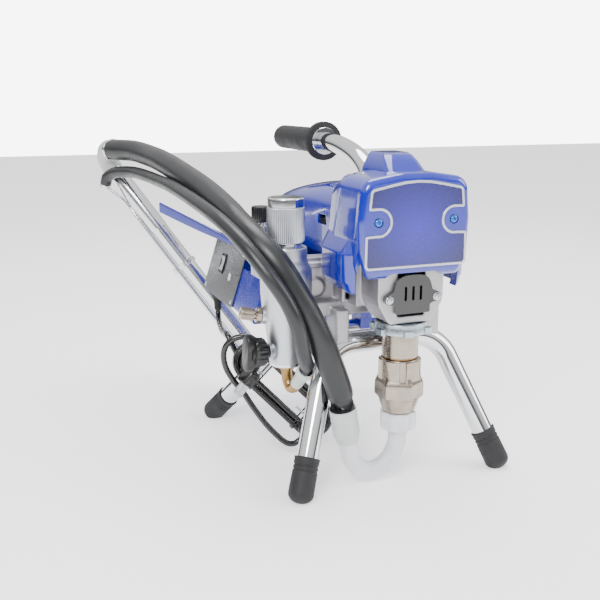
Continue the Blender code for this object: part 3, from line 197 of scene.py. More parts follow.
def leg_path(track, foot_y, bar):
    """Half-symmetric U: foot, bend, crossbar, bend, foot."""
    corner = Vector(bar)
    foot = Vector((track, foot_y, 0))
    up = (corner - foot).normalized()
    end_height = LEG_TUBE_R * math.sqrt(1 - up.z ** 2) + 0.0025
    start = foot + up * (end_height / up.z)
    turn = math.acos(up.dot(-X_AXIS))
    tangent = LEG_BEND_R * math.tan(turn / 2)
    first, last = corner - up * tangent, corner - X_AXIS * tangent
    centre = first + ((last - first) - up * (last - first).dot(up)).normalized() * LEG_BEND_R
    half = [start, start.lerp(first, 0.5)]
    steps = 18
    for i in range(steps + 1):
        angle = turn * i / steps
        half.append(centre + (first - centre) * math.cos(angle) + up * LEG_BEND_R * math.sin(angle))
    return half + [Vector((-p.x, p.y, p.z)) for p in reversed(half)]


piece("front_leg_tube", round_bar(leg_path(FRONT_TRACK, FRONT_FOOT_Y, FRONT_BAR), LEG_TUBE_R, 48),
      chrome, replaces=("front_leg",))
piece("rear_leg_tube", round_bar(leg_path(REAR_TRACK, REAR_FOOT_Y, REAR_BAR), LEG_TUBE_R, 48),
      chrome, replaces=("rear_leg",))

# ==================================================================== rubber feet
# Four moulded rubber caps pushed over the tube ends, each with a rolled lip and two
# grip rings, ground flat where it stands.
CAP_WALL, CAP_LENGTH, CAP_SUNK = 0.0018, 0.040, 0.0102

# Moulded black rubber: matt, with a fine spark-eroded grain of 0.7 mm and grey dust marks.
rubber, *parts = new_finish("moulded_rubber", "#1d1d1f", 0.0, 0.7, Specular_IOR_Level=0.4)
skin(*parts, 22, 0, rough=(0.55, 0.8), tint=("#141416", "#2b2b2d"))
skin(*parts, 0.7, 0.05)


def at(x, y, z, along=None, turn=0.0):
    """Placement at a point, with local +Z turned to the direction along."""
    matrix = Matrix.Translation((x, y, z))
    if along is not None:
        matrix @= Vector(along).to_track_quat("Z", "Y").to_matrix().to_4x4()
    return matrix @ Matrix.Rotation(turn, 4, "Z")


def ring_radius(kind, radius, angle):
    """Radius of a ring at an angle: round, hexagonal, or waved as (count, depth)."""
    if kind == "round":
        return radius
    if kind == "hex":
        sixth = math.pi / 3
        return min(radius / math.cos((angle + sixth / 2) % sixth - sixth / 2), radius * 1.115)
    count, depth = kind
    return radius + depth * math.cos(count * angle)


def turned(rings, sides=64, bored=False):
    """Turned shape from rings (radius, z) or (radius, z, kind). bored joins last to first."""
    sections = []
    for radius, z, *kind in rings:
        kind = kind[0] if kind else "round"
        if radius == 0:
            sections.append([(0, 0, z)])
            continue
        section = []
        for i in range(sides):
            angle = 2 * math.pi * i / sides
            r = ring_radius(kind, radius, angle)
            section.append((r * math.cos(angle), r * math.sin(angle), z))
        sections.append(section)
    return loft(sections, ring=bored)


def corner_arc(radius, z, size, start, end, steps=5):
    """Rings of a rounded corner of a turned shape, centre (radius, z), angles in degrees."""
    return [(radius + size * math.cos(a), z + size * math.sin(a))
            for a in (math.radians(start + (end - start) * i / steps) for i in range(steps + 1))]


def cut(obj, shape, place=None, operation="DIFFERENCE"):
    """Cut a shape out of a piece, or join it on, for good."""
    other = bpy.data.objects.new("cutter", bpy.data.meshes.new("cutter"))
    bmesh.ops.recalc_face_normals(shape, faces=shape.faces)
    shape.transform(Matrix.Translation(base) @ (place or Matrix()))
    shape.to_mesh(other.data)
    shape.free()
    bpy.context.scene.collection.objects.link(other)
    modifier = obj.modifiers.new("cut", "BOOLEAN")
    modifier.object, modifier.operation, modifier.solver = other, operation, "EXACT"
    settle(obj)
    bpy.data.objects.remove(other, do_unlink=True)
    return obj


def settle(obj):
    """Take a piece's modifiers into its mesh."""
    bpy.context.view_layer.update()
    done = bpy.data.meshes.new_from_object(obj.evaluated_get(bpy.context.evaluated_depsgraph_get()))
    obj.modifiers.clear()
    obj.data = done
    set_shading(obj)


def block(low, high):
    shape = bmesh.new()
    bmesh.ops.create_cube(shape, size=1.0)
    for vert in shape.verts:
        vert.co = [lo + (hi - lo) * (c + 0.5) for c, lo, hi in zip(vert.co, low, high)]
    return shape


def rubber_foot(side, end, x, y, bar):
    corner = Vector((math.copysign(bar[0], x), bar[1], bar[2]))
    up = (corner - Vector((x, y, 0))).normalized()
    outer, bore = LEG_TUBE_R + CAP_WALL, LEG_TUBE_R + 0.0003
    inside = (LEG_TUBE_R * math.sqrt(1 - up.z ** 2) + 0.0025) / up.z - CAP_SUNK - 0.0003
    lip = corner_arc(outer - 0.0009, CAP_LENGTH - 0.0012, 0.0012, 90, -60)
    grip = [ring for z in (0.031, 0.026) for ring in
            ((outer - 0.0003, z + 0.0016), (outer - 0.0011, z + 0.0008), (outer - 0.0011, z - 0.0008),
             (outer - 0.0003, z - 0.0016))]
    dome = [(outer * math.cos(a), -outer * 0.75 * math.sin(a))
            for a in (math.radians(9 * i) for i in range(10))]
    rings = lip + grip + dome + [(0, -outer * 0.75)]
    rings += [(0, inside), (bore, inside), (bore, CAP_LENGTH + 0.0001)]
    name = f"{end}_{side}"
    cap = piece("rubber_foot_" + name, turned(rings, 56, bored=True), rubber,
                at(x, y, 0, up) @ Matrix.Translation((0, 0, CAP_SUNK)), replaces=("foot_" + name,))
    cut(cap, block((x - 0.04, y - 0.04, -0.03), (x + 0.04, y + 0.04, 0.0)))
    return cap


for side, sign in (("left", -1), ("right", 1)):
    rubber_foot(side, "front", sign * FRONT_TRACK, FRONT_FOOT_Y, FRONT_BAR)
    rubber_foot(side, "rear", sign * REAR_TRACK, REAR_FOOT_Y, REAR_BAR)

# ==================================================================== castings
# The gear case and the bearing housing in front of it, pressure die cast in aluminium
# and shot blasted: soft edges, a fine even grain, and no machining on the outside.

# Die-cast aluminium, blasted: satin grey with 1.4 mm grain and slow grey flow marks.
cast, *parts = new_finish("blasted_die_cast_aluminium", "#b4b2b5", 1.0, 0.5)
skin(*parts, 18, 0, rough=(0.40, 0.58), tint=("#a19fa3", "#c9c7ca"))
skin(*parts, 1.4, 0.09)


def casting(name, node, material, voxel):
    """A casting from its plain solid, with all its edges rounded by the mould."""
    obj = bpy.data.objects.new(name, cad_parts[node].data.copy())
    bpy.context.scene.collection.objects.link(obj)
    obj.data.materials.clear()
    obj.data.materials.append(material)
    remesh = obj.modifiers.new("grain", "REMESH")
    remesh.mode, remesh.voxel_size = "VOXEL", voxel
    smooth = obj.modifiers.new("mould", "SMOOTH")
    smooth.factor, smooth.iterations = 0.5, 6
    settle(obj)
    set_shading(obj, 60)
    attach(obj, "machine")
    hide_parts(node)
    return obj


casting("gear_case_casting", "drive_housing", cast, 0.0011)
casting("bearing_casting", "bearing_housing", cast, 0.0009)

# ==================================================================== drive train
# Steel gears, connecting rod and motor inside the case, machined all over and oiled.
# They keep the solids that mesh and turn.

# Machined alloy steel under an oil film: grey, half bright, with cutter lines of 1.5 mm.
oiled_steel, *parts = new_finish("oiled_gear_steel", "#8f9094", 1.0, 0.3)
skin(*parts, 1.5, 0.01, rough=(0.2, 0.4), stretch=(1, 0.15, 1))
skin(*parts, 15, 0, tint=("#7b7c80", "#a5a6aa"))
# Sintered bronze: brown-yellow, satin, with open pores of 0.6 mm.
sintered, *parts = new_finish("sintered_bronze", "#8c6a3e", 1.0, 0.4)
skin(*parts, 0.6, 0.03, rough=(0.3, 0.5), tint=("#7a5a33", "#a27e4c"))
# Nylon mesh filter with a 1 mm weave, dark grey.
mesh_black, *parts = new_finish("filter_mesh_nylon", "#26272a", 0.0, 0.55)
skin(*parts, 1.0, 0.2, rough=(0.4, 0.7))

for node in ("crank_gear", "intermediate_gear", "connecting_rod", "motor_can", "motor_rotor",
             "piston_rod", "intake_ball"):
    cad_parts[node].data.materials.clear()
    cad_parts[node].data.materials.append(oiled_steel)
for node, material in (("crank_bearing", sintered), ("packing_nut", sintered),
                       ("filter_element", mesh_black), ("motor_end_bell", cast)):
    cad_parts[node].data.materials.clear()
    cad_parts[node].data.materials.append(material)

# ==================================================================== front cover
# The moulded blue cover over the gears: a shell with a rolled front edge, swelling sides
# with two cooling slots each, an arch over the rod opening and a hump under the handle.
COVER_FRONT, COVER_REAR, COVER_WALL = -0.010, 0.0798, 0.003

# Glossy pigmented ABS: deep clean blue under a clear skin, with a faint 6 mm orange peel.
blue, *parts = new_finish("glossy_blue_abs", "#0626a8", 0.0, 0.16, Coat_Weight=1.0,
                          Coat_Roughness=0.04, Specular_IOR_Level=0.6)
skin(*parts, 30, 0, rough=(0.12, 0.22), tint=("#021590", "#041da6"))
skin(*parts, 6, 0.012)


def filleted(corners, steps=6):
    """Outline through corners (x, z, radius), each rounded by an arc of that radius."""
    out, count = [], len(corners)
    for i, (x, z, radius) in enumerate(corners):
        here = Vector((x, z))
        into = (here - Vector(corners[i - 1][:2])).normalized()
        away = (Vector(corners[(i + 1) % count][:2]) - here).normalized()
        turn = math.acos(max(-1, min(1, into.dot(away))))
        if radius == 0 or turn < 0.02:
            out.append((x, z))
            continue
        back = radius * math.tan(turn / 2)
        a, b = here - into * back, here + away * back
        centre = here + (away - into).normalized() * radius / math.cos(turn / 2)
        for j in range(steps + 1):
            spoke = (a - centre).lerp(b - centre, j / steps).normalized() * radius
            out.append(tuple(centre + spoke))
    return out


def mirrored(half):
    """Close a half outline, listed bottom to top on +X, across X = 0."""
    left = [(-corner[0], *corner[1:]) for corner in reversed(half) if corner[0] > 1e-6]
    return list(half) + left


def grown(outline, amount):
    """Outline moved outward by amount, inward if it is negative."""
    count = len(outline)
    area = sum(outline[i - 1][0] * outline[i][1] - outline[i][0] * outline[i - 1][1]
               for i in range(count))
    side = 1 if area > 0 else -1
    moved = []
    for i in range(count):
        before, here, after = (Vector(outline[j % count]) for j in (i - 1, i, i + 1))
        a, b = (here - before).normalized(), (after - here).normalized()
        normal = Vector((a.y + b.y, -a.x - b.x)).normalized() * side
        lean = max(0.5, normal.dot(Vector((a.y, -a.x)) * side))
        moved.append(tuple(here + normal * amount / lean))
    return moved


def upright(outline, y):
    return [(x, y, z) for x, z in outline]


def prism(outline, low, high, axis="Y"):
    """Outline extruded along an axis: (x, z) points along Y, (x, y) along Z, (y, z) along X."""
    def point(a, b, c):
        return {"Y": (a, c, b), "Z": (a, b, c), "X": (c, a, b)}[axis]
    return loft([[point(a, b, c) for a, b in outline] for c in (low, high)])


def cover_outline(low=0.228, top=0.356, half=0.066):
    return filleted(mirrored([
        (half - 0.010, low, 0.0085), (half - 0.0005, low + 0.030, 0.030),
        (half + 0.0005, low + 0.060, 0.060), (half - 0.0040, top - 0.0065, 0.0170),
        (0.018, top + 0.0002, 0.060)]), 8)


rolled = []
EDGE_R = 0.0075
for i in range(8):
    angle = math.radians(90 * i / 7)
    inset = EDGE_R * (1 - math.sin(angle))
    low = 0.247 - 0.003 * (1 - math.cos(angle))
    rolled.append(upright(grown(cover_outline(low=low), -inset),
                          COVER_FRONT + EDGE_R * (1 - math.cos(angle))))
rolled.append(upright(cover_outline(low=0.2380), 0.0010))
rolled.append(upright(cover_outline(low=0.2290), 0.0035))
rolled += [upright(cover_outline(), y) for y in (0.0050, 0.020, 0.040, 0.055)]
rolled += [upright(cover_outline(top=0.356 - 0.010 * s, half=0.066 - 0.003 * s), 0.055 + 0.0215 * s)
           for s in (0.5, 0.8, 0.95)]
rolled.append(upright(cover_outline(top=0.3446, half=0.0627), COVER_REAR - 0.0010))
rolled.append(upright(cover_outline(top=0.3436, half=0.0619), COVER_REAR))
cover = piece("front_cover_shell", loft(rolled), blue, replaces=("front_cover",))


def swelling(sign):
    """Side swelling of the cover, from its flank out to a flat face with the slots."""
    profile = filleted([(0.0585, 0.2268, 0), (0.0680, 0.2268, 0.004), (0.0745, 0.2390, 0.004),
                        (0.0752, 0.2700, 0.005), (0.0640, 0.2885, 0.006), (0.0585, 0.2915, 0)], 5)
    root = 0.0585
    stations = ((0.25, 0.0070), (0.62, 0.0100), (0.88, 0.0140), (0.98, 0.0175), (1.0, 0.0210),
                (1.0, 0.0680), (0.95, 0.0745), (0.84, COVER_REAR - 0.0002))
    return loft([[(sign * (root + (x - root) * share), y, z) for x, z in profile]
                 for share, y in stations])


for sign in (-1, 1):
    cut(cover, swelling(sign), operation="UNION")
hump = []
for z, half, front in ((0.3350, 0.0262, 0.006), (0.3450, 0.0256, 0.0085), (0.3560, 0.0238, 0.0150),
                       (0.3650, 0.0210, 0.0240), (0.3715, 0.0180, 0.0320), (0.3742, 0.0150, 0.0370)):
    rear = COVER_REAR - 0.0004 - max(0.0, z - 0.352) * 0.2
    outline = filleted([(-half, front, 0.008), (half, front, 0.008), (half, rear, 0.004),
                        (-half, rear, 0.004)], 6)
    hump.append([(x, y, z) for x, y in outline])
cut(cover, loft(hump), operation="UNION")
inner = [upright(grown(cover_outline(low=0.256), -COVER_WALL - 0.0015), COVER_FRONT + COVER_WALL),
         upright(grown(cover_outline(low=0.200), -COVER_WALL), COVER_FRONT + 0.013),
         upright(grown(cover_outline(low=0.200), -COVER_WALL), 0.055),
         upright(grown(cover_outline(low=0.200, top=0.3436, half=0.0619), -COVER_WALL), COVER_REAR + 0.004)]
cut(cover, loft(inner))
arch = filleted(mirrored([(0.0465, 0.200, 0), (0.0465, 0.2220, 0.008), (0.0425, 0.2340, 0.010),
                          (0.0300, 0.2500, 0.012)]), 6)
cut(cover, prism(arch, -0.03, 0.0065))
cut(cover, block((-0.0600, 0.0060, 0.19), (0.0600, COVER_REAR + 0.01, 0.262)))
for sign in (-1, 1):
    hollow = [(sign * 0.0560, 0.20), (sign * 0.0560, 0.280), (sign * 0.0640, 0.282),
              (sign * 0.0715, 0.268), (sign * 0.0705, 0.237), (sign * 0.0655, 0.20)]
    cut(cover, prism(hollow, 0.0210, COVER_REAR + 0.01))
    for z in (0.2410, 0.2635):
        slot = filleted([(0.0285, z - 0.0075, 0.0019), (0.0325, z - 0.0075, 0.0019),
                         (0.0325, z + 0.0075, 0.0019), (0.0285, z + 0.0075, 0.0019)], 4)
        cut(cover, prism(slot, *sorted((sign * 0.055, sign * 0.090)), axis="X"))
    cut(cover, turned([(0.0054, 0.02), (0.0054, -COVER_FRONT - 0.0016), (0.0022, -COVER_FRONT - 0.0018),
                       (0.0022, -0.01)], 40), at(sign * 0.045, 0, 0.3055, -Y_AXIS))
soften(cover, 0.0007, 2)

# ==================================================================== badge plate
# Printed aluminium badge in the cover's front: a raised silver rim that steps round the
# cover screws, and a navy lacquered field.

# Satin silver lacquer over aluminium, brushed along the rim.
silver, *parts = new_finish("silver_badge_lacquer", "#c6c9d2", 0.6, 0.34)
skin(*parts, 3, 0.01, rough=(0.28, 0.42))
# Navy screen print under gloss lacquer, with painted shade that darkens it towards the raised rim.
navy, tree, shader, where = new_finish("navy_badge_print", "#1b1c86", 0.0, 0.25, Coat_Weight=0.6,
                                       Coat_Roughness=0.05)
skin(tree, shader, where, 5, 0.006, rough=(0.2, 0.3))
centre = base + Vector((0, COVER_FRONT, 0.298))
spread = add_node(tree, "Mapping", {"Vector": where, "Location": -centre}, vector_type="POINT")
squeezed = add_node(tree, "Mapping", {"Vector": spread.outputs["Vector"], "Scale": (14, 14, 16)})
# Painted shade: a round falloff from the middle of the field darkens the navy towards the rim.
rim_shade_falloff = add_node(tree, "TexGradient", {"Vector": squeezed.outputs["Vector"]}, gradient_type="SPHERICAL")
painted_rim_shade = add_node(tree, "Mix", {"Factor": rim_shade_falloff.outputs["Fac"], 6: linear("#10104e"),
                               7: linear("#2420a4")}, data_type="RGBA")
tree.links.new(painted_rim_shade.outputs[2], shader.inputs["Base Color"])


def arc(cx, cz, radius, start, end, steps):
    """Points on an arc in degrees, both ends included."""
    return [(cx + radius * math.cos(math.radians(start + (end - start) * i / steps)),
             cz + radius * math.sin(math.radians(start + (end - start) * i / steps)))
            for i in range(steps + 1)]


badge_half = [(0.0, 0.2557)] + arc(0.0555, 0.2612, 0.0055, -90, 0, 8) + [(0.0606, 0.2890)]
badge_half += arc(0.0580, 0.2895, 0.0026, 0, 90, 4)[1:] + arc(0.0450, 0.3055, 0.0130, -80, -275, 24)
badge_half += [(0.0545, 0.3183)] + arc(0.0548, 0.3205, 0.0022, -70, 0, 3)
badge_half += arc(0.0495, 0.3350, 0.0060, 10, 75, 8) + [(0.030, 0.3450), (0.015, 0.3476), (0.0, 0.3485)]
badge = mirrored(badge_half)
RIM = 0.0026
rim = [upright(grown(badge, g), COVER_FRONT - y) for g, y in
       ((0, 0.0003), (0, 0.0011), (-0.0004, 0.0015), (-RIM + 0.0004, 0.0015), (-RIM, 0.0011),
        (-RIM, 0.0003))]
piece("badge_rim", loft(rim, ring=True), silver, replaces=("label_plate",))
piece("badge_field", prism(grown(badge, -0.0020), COVER_FRONT - 0.0008, COVER_FRONT - 0.0003),
      navy)

# ==================================================================== cover screws
# Button head steel screws: two blue coated ones sunk in the cover, two bright ones with
# washers through the ears of the rod cover. Each has a cross recess.

# Bright zinc plate on steel, passivated clear: nearly white, with fine tool lines.
bright, *parts = new_finish("bright_zinc_screw", "#d0d2d4", 1.0, 0.22)
skin(*parts, 3, 0.008, rough=(0.15, 0.3))
# Blue lacquer over the steel head, chipped to a darker tone in spots of 2 mm.
screw_blue, *parts = new_finish("blue_lacquered_screw", "#0b62b8", 0.5, 0.2, Coat_Weight=0.8)
skin(*parts, 2, 0.01, tint=("#0a55a4", "#1273cc"))


def screw(name, node, x, z, seat_y, head_r, length, material, washer=0.0):
    under = -seat_y
    rings = [(0, under + 0.0026), (head_r * 0.45, under + 0.0026), (head_r * 0.75, under + 0.0022),
             (head_r * 0.93, under + 0.0013), (head_r, under + 0.0004), (head_r, under)]
    if washer:
        rings += [(washer, under - 0.0001), (washer + 0.0002, under - 0.0005), (washer, under - 0.0009)]
        under -= 0.0010
    rings += [(0.0017, under), (0.0017, under - length), (0, under - length)]
    obj = piece(name, turned(rings, 48), material, at(x, 0, z, -Y_AXIS), replaces=(node,))
    deep = -seat_y + 0.0012
    for turn in (20, 110):
        cut(obj, block((-head_r * 0.5, -0.0005, deep), (head_r * 0.5, 0.0005, deep + 0.003)),
            at(x, 0, z, -Y_AXIS, math.radians(turn)))
    return obj


for side, sign in (("left", -1), ("right", 1)):
    screw("badge_screw_" + side, "cover_screw_" + side, sign * 0.045, 0.3055, COVER_FRONT + 0.0014,
          0.0044, 0.012, screw_blue)
    screw("rod_cover_bolt_" + side, "rod_cover_screw_" + side, sign * 0.029, 0.221, -0.0078, 0.0038,
          0.012, bright, washer=0.0045)

# ==================================================================== rod cover
# Clip-in black cover over the piston rod opening, moulded with three slots and two ears.

# High gloss black ABS: near black, mirror-like skin with a faint 8 mm wave.
black, *parts = new_finish("gloss_black_abs", "#08080a", 0.0, 0.16, Coat_Weight=0.7,
                           Coat_Roughness=0.05)
skin(*parts, 8, 0.02, rough=(0.1, 0.24))
ears = [(0.0, 0.2040), (0.0180, 0.2040)] + arc(0.0190, 0.2060, 0.0020, -80, 0, 3)
ears += [(0.0210, 0.2130), (0.0240, 0.2148)] + arc(0.0290, 0.2210, 0.0055, -80, 80, 14)
ears += [(0.0238, 0.2292), (0.0226, 0.2335), (0.0210, 0.2385), (0.0185, 0.2425), (0.0145, 0.2452),
         (0.0090, 0.2466), (0.0, 0.2470)]
rod_cover = piece("rod_cover_moulding", prism(mirrored(ears), -0.0068, -0.0024), black,
                  replaces=("rod_cover",))
for x in (-0.0092, 0.0, 0.0092):
    slot = filleted([(x - 0.0015, 0.2185, 0.0014), (x + 0.0015, 0.2185, 0.0014),
                     (x + 0.0015, 0.2345, 0.0014), (x - 0.0015, 0.2345, 0.0014)], 4)
    cut(rod_cover, prism(slot, -0.02, 0.01))
for sign in (-1, 1):
    cut(rod_cover, turned([(0.0022, 0.02), (0.0022, -0.02)], 24), at(sign * 0.029, 0, 0.221, Y_AXIS))
soften(rod_cover, 0.0009)

# ==================================================================== motor shroud
# Moulded blue hood over the motor, open below, with a vent window and louvres each side.
SHROUD_WALL = 0.0025
SHROUD_ROWS = [(0.0802, 0.0600, 0.3375, 0.2560), (0.1400, 0.0600, 0.3360, 0.2560),
               (0.2000, 0.0590, 0.3290, 0.2560), (0.2600, 0.0560, 0.3180, 0.2570),
               (0.3000, 0.0500, 0.3070, 0.2590), (0.3230, 0.0400, 0.2960, 0.2620),
               (0.3350, 0.0250, 0.2860, 0.2650)]
HANDLE_FOOT_Y = 0.1070


def between(rows, share):
    """Row of values at a share of the way through rows, on a smooth curve."""
    place = share * (len(rows) - 1)
    i = min(int(place), len(rows) - 2)
    t = place - i
    a, b, c, d = (rows[max(0, min(len(rows) - 1, i + k))] for k in (-1, 0, 1, 2))
    return [0.5 * (2 * q + (r - p) * t + (2 * p - 5 * q + 4 * r - s) * t * t
                   + (3 * q - p - 3 * r + s) * t ** 3) for p, q, r, s in zip(a, b, c, d)]


def shroud_section(y, half, crown, low, steps=36):
    """Arch section of the shroud: near upright sides and a round crown."""
    points, rise = [(half, y, low)], crown - low
    for i in range(steps + 1):
        angle = math.pi * i / steps
        c, s = math.cos(angle), math.sin(angle)
        points.append((half * math.copysign(abs(c) ** 0.55, c), y,
                       low + rise * (0.35 + 0.65 * max(s, 0.0) ** 0.75)))
    return points + [(-half, y, low)]


outer = [shroud_section(*between(SHROUD_ROWS, i / 42)) for i in range(43)]
shroud = piece("motor_shroud_shell", loft(outer), blue, replaces=("motor_shroud",))
inner = []
for i in range(15):
    y, half, crown, low = between(SHROUD_ROWS, i / 14)
    y -= 0.01 if i == 0 else 0.004 * max(0.0, (y - 0.25) / 0.085)
    inner.append(shroud_section(y, half - SHROUD_WALL, crown - SHROUD_WALL, low - 0.012, 24))
cut(shroud, loft(inner))
cut(shroud, turned([(0.0130, 0.40), (0.0130, 0.30)], 40), at(0, HANDLE_FOOT_Y + 0.0015, 0))
for sign in (-1, 1):
    for y0, y1, z0, z1 in ((0.093, 0.119, 0.2900, 0.3010), (0.160, 0.200, 0.2740, 0.2780),
                           (0.160, 0.200, 0.2840, 0.2880)):
        radius = min(0.0016, (z1 - z0) * 0.4)
        window = filleted([(y0, z0, radius), (y1, z0, radius), (y1, z1, radius), (y0, z1, radius)], 4)
        cut(shroud, prism(window, *sorted((sign * 0.045, sign * 0.070)), axis="X"))
soften(shroud, 0.0006, 2)

# ==================================================================== carrying handle
# Bent chrome tube from the top of the gear case, with a pressed-on collar and a
# rubber grip that ends in a dome.
BAR_Z, HANDLE_TUBE_R = 0.3775, 0.0115
GRIP_FRONT, GRIP_REAR, GRIP_R = 0.2555, 0.3960, 0.0165


def smooth_path(points, step):
    """Points about a step apart on a Catmull-Rom curve through the given points."""
    points = [Vector(p) for p in points]
    ends = [2 * points[0] - points[1], *points, 2 * points[-1] - points[-2]]
    fine = []
    for a, b, c, d in zip(ends, ends[1:], ends[2:], ends[3:]):
        for i in range(24):
            t = i / 24
            fine.append(0.5 * (2 * b + (c - a) * t + (2 * a - 5 * b + 4 * c - d) * t * t
                               + (3 * b - a - 3 * c + d) * t ** 3))
    fine.append(points[-1])
    lengths = [0.0]
    for a, b in zip(fine, fine[1:]):
        lengths.append(lengths[-1] + (b - a).length)
    count = max(2, round(lengths[-1] / step))
    out, j = [], 0
    for i in range(count + 1):
        want = lengths[-1] * i / count
        while j < len(fine) - 2 and lengths[j + 1] < want:
            j += 1
        share = (want - lengths[j]) / (lengths[j + 1] - lengths[j])
        out.append(fine[j].lerp(fine[j + 1], share))
    return out


bar_route = [(0, HANDLE_FOOT_Y, 0.3320), (0, HANDLE_FOOT_Y, 0.3365), (0, 0.1160, 0.3515),
             (0, 0.1420, 0.3645), (0, 0.1850, 0.3738), (0, 0.2300, BAR_Z)]
bar_path = [(0, HANDLE_FOOT_Y, 0.3283), *smooth_path(bar_route, 0.004)]
bar_path += [(0, 0.2500, BAR_Z), (0, GRIP_REAR - 0.010, BAR_Z)]
piece("handle_tube", round_bar(bar_path, HANDLE_TUBE_R, 48), chrome, replaces=("handle_post",))
collar = [(0.0117, 0.2487), (0.0230, 0.2487)] + corner_arc(0.0234, 0.2471, 0.0016, 80, 0)
collar += corner_arc(0.0234, 0.2416, 0.0016, 0, -80) + [(0.0230, 0.2400), (0.0117, 0.2400)]
piece("handle_collar", turned(collar, 72, bored=True), rubber, at(0, 0, BAR_Z, Y_AXIS))
washer = [(0.0117, 0.2398), (0.0170, 0.2398), (0.0176, 0.2392), (0.0170, 0.2386), (0.0117, 0.2386)]
piece("handle_washer", turned(washer, 64, bored=True), chrome, at(0, 0, BAR_Z, Y_AXIS))
grip = [(0, GRIP_REAR)] + [((GRIP_R - 0.007) + 0.007 * math.sin(a), GRIP_REAR - 0.007 + 0.007 * math.cos(a))
                           for a in (math.radians(10 * i) for i in range(10))]
grip += [(GRIP_R, GRIP_FRONT + 0.0035), (GRIP_R - 0.0006, GRIP_FRONT + 0.0030),
         (GRIP_R - 0.0006, GRIP_FRONT + 0.0022), (GRIP_R, GRIP_FRONT + 0.0017),
         (GRIP_R - 0.0004, GRIP_FRONT + 0.0005), (GRIP_R - 0.0012, GRIP_FRONT), (0.0121, GRIP_FRONT),
         (0.0121, GRIP_REAR - 0.0095), (0, GRIP_REAR - 0.0095)]
piece("handle_grip_sleeve", turned(grip, 72), rubber, at(0, 0, BAR_Z, Y_AXIS),
      replaces=("handle_grip",))

# ==================================================================== pump
# Piston pump screwed up into the bearing casting: stainless cylinder, castellated intake
# housing, a lugged lock nut above it and a lobed nylon nut below. All turned on one axis.
pump_place = at(0, PUMP_Y, 0)

# Turned stainless steel: warm grey, half bright, with fine rings drawn 0.9 mm apart.
stainless, tree, shader, where = new_finish("turned_stainless", "#a3988b", 1.0, 0.26)
skin(tree, shader, where, 0.9, 0.01, rough=(0.20, 0.36), stretch=(0.02, 0.02, 1))
skin(tree, shader, where, 12, 0, tint=("#94897c", "#b3a89b"))
# Heat-tinted stainless in the groove: brown gold.
tinted, *parts = new_finish("heat_tinted_stainless", "#8a6b45", 1.0, 0.3)
skin(*parts, 4, 0.006, rough=(0.22, 0.4), tint=("#755836", "#a5845a"))
# Zinc plated, blue passivated pressing: cool grey with rainbow-faint clouds of 8 mm.
zinc, *parts = new_finish("blue_passivated_zinc", "#a9b6bf", 1.0, 0.3)
skin(*parts, 8, 0.01, rough=(0.2, 0.42), tint=("#99a9b6", "#bcc4c4"))
# Natural nylon: milky, with light passing a little way in, and a satin moulded skin.
nylon, *parts = new_finish("natural_nylon", "#d6d7dc", 0.0, 0.38, Subsurface_Weight=0.25,
                           Subsurface_Scale=0.004)
skin(*parts, 12, 0.02, rough=(0.3, 0.46), tint=("#cdced4", "#dfe0e4"))

piece("pump_barrel", turned(
    [(0.0160, 0.1995), (0.0160, 0.1917), (0.0180, 0.1917), (0.0180, 0.1786)]
    + corner_arc(0.0196, 0.1772, 0.0008, 90, 0) + [(0.0204, 0.1670), (0.0204, 0.1660), (0.0204, 0.1540)]
    + corner_arc(0.0199, 0.1505, 0.0005, 0, -90) + [(0.0140, 0.1500), (0.0140, 0.1865), (0.0110, 0.1875),
    (0.0110, 0.1995)], 96, bored=True), stainless, pump_place, replaces=("pump_cylinder",))
piece("pump_groove_ring", turned([(0.0193, 0.1499), (0.0193, 0.1484), (0.0170, 0.1484),
                                  (0.0170, 0.1325), (0.0141, 0.1325), (0.0141, 0.1499)], 96, bored=True),
      tinted, pump_place)


def castle(low, high, radius, teeth=6, share=0.74, depth=0.0022):
    """Keys: raised lands round a shaft, with a slot between each pair."""
    outline = []
    for i in range(teeth):
        start = 2 * math.pi * i / teeth
        for part, r in ((0, radius - depth), (0.5 - share / 2, radius - depth),
                        (0.5 - share / 2 + 0.03, radius), (0.5, radius),
                        (0.5 + share / 2 - 0.03, radius), (0.5 + share / 2, radius - depth)):
            a = start + 2 * math.pi / teeth * part
            outline.append((r * math.cos(a), r * math.sin(a)))
    return prism(outline, low, high, "Z")


housing = piece("intake_housing_body", turned(
    corner_arc(0.0206, 0.1466, 0.0012, 90, 0) + [(0.0222, 0.1440), (0.0222, 0.1250, "hex"),
    (0.0238, 0.1215, "hex"), (0.0248, 0.1180, "hex"), (0.0250, 0.1060, "hex"), (0.0247, 0.1035, "hex"),
    (0.0236, 0.1005), (0.0222, 0.0960), (0.0205, 0.0910), (0.0193, 0.0876), (0.0190, 0.0862),
    (0.0186, 0.0852), (0.0150, 0.0850), (0.0150, 0.0797), (0.0072, 0.0795), (0.0070, 0.1030),
    (0.0143, 0.1032), (0.0143, 0.1315), (0.0173, 0.1317), (0.0176, 0.1478)], 144, bored=True),
    stainless, pump_place, replaces=("intake_housing",))
cut(housing, castle(0.1240, 0.1462, 0.0243), pump_place @ Matrix.Rotation(math.radians(12), 4, "Z"),
    "UNION")
soften(housing, 0.0006, 2)

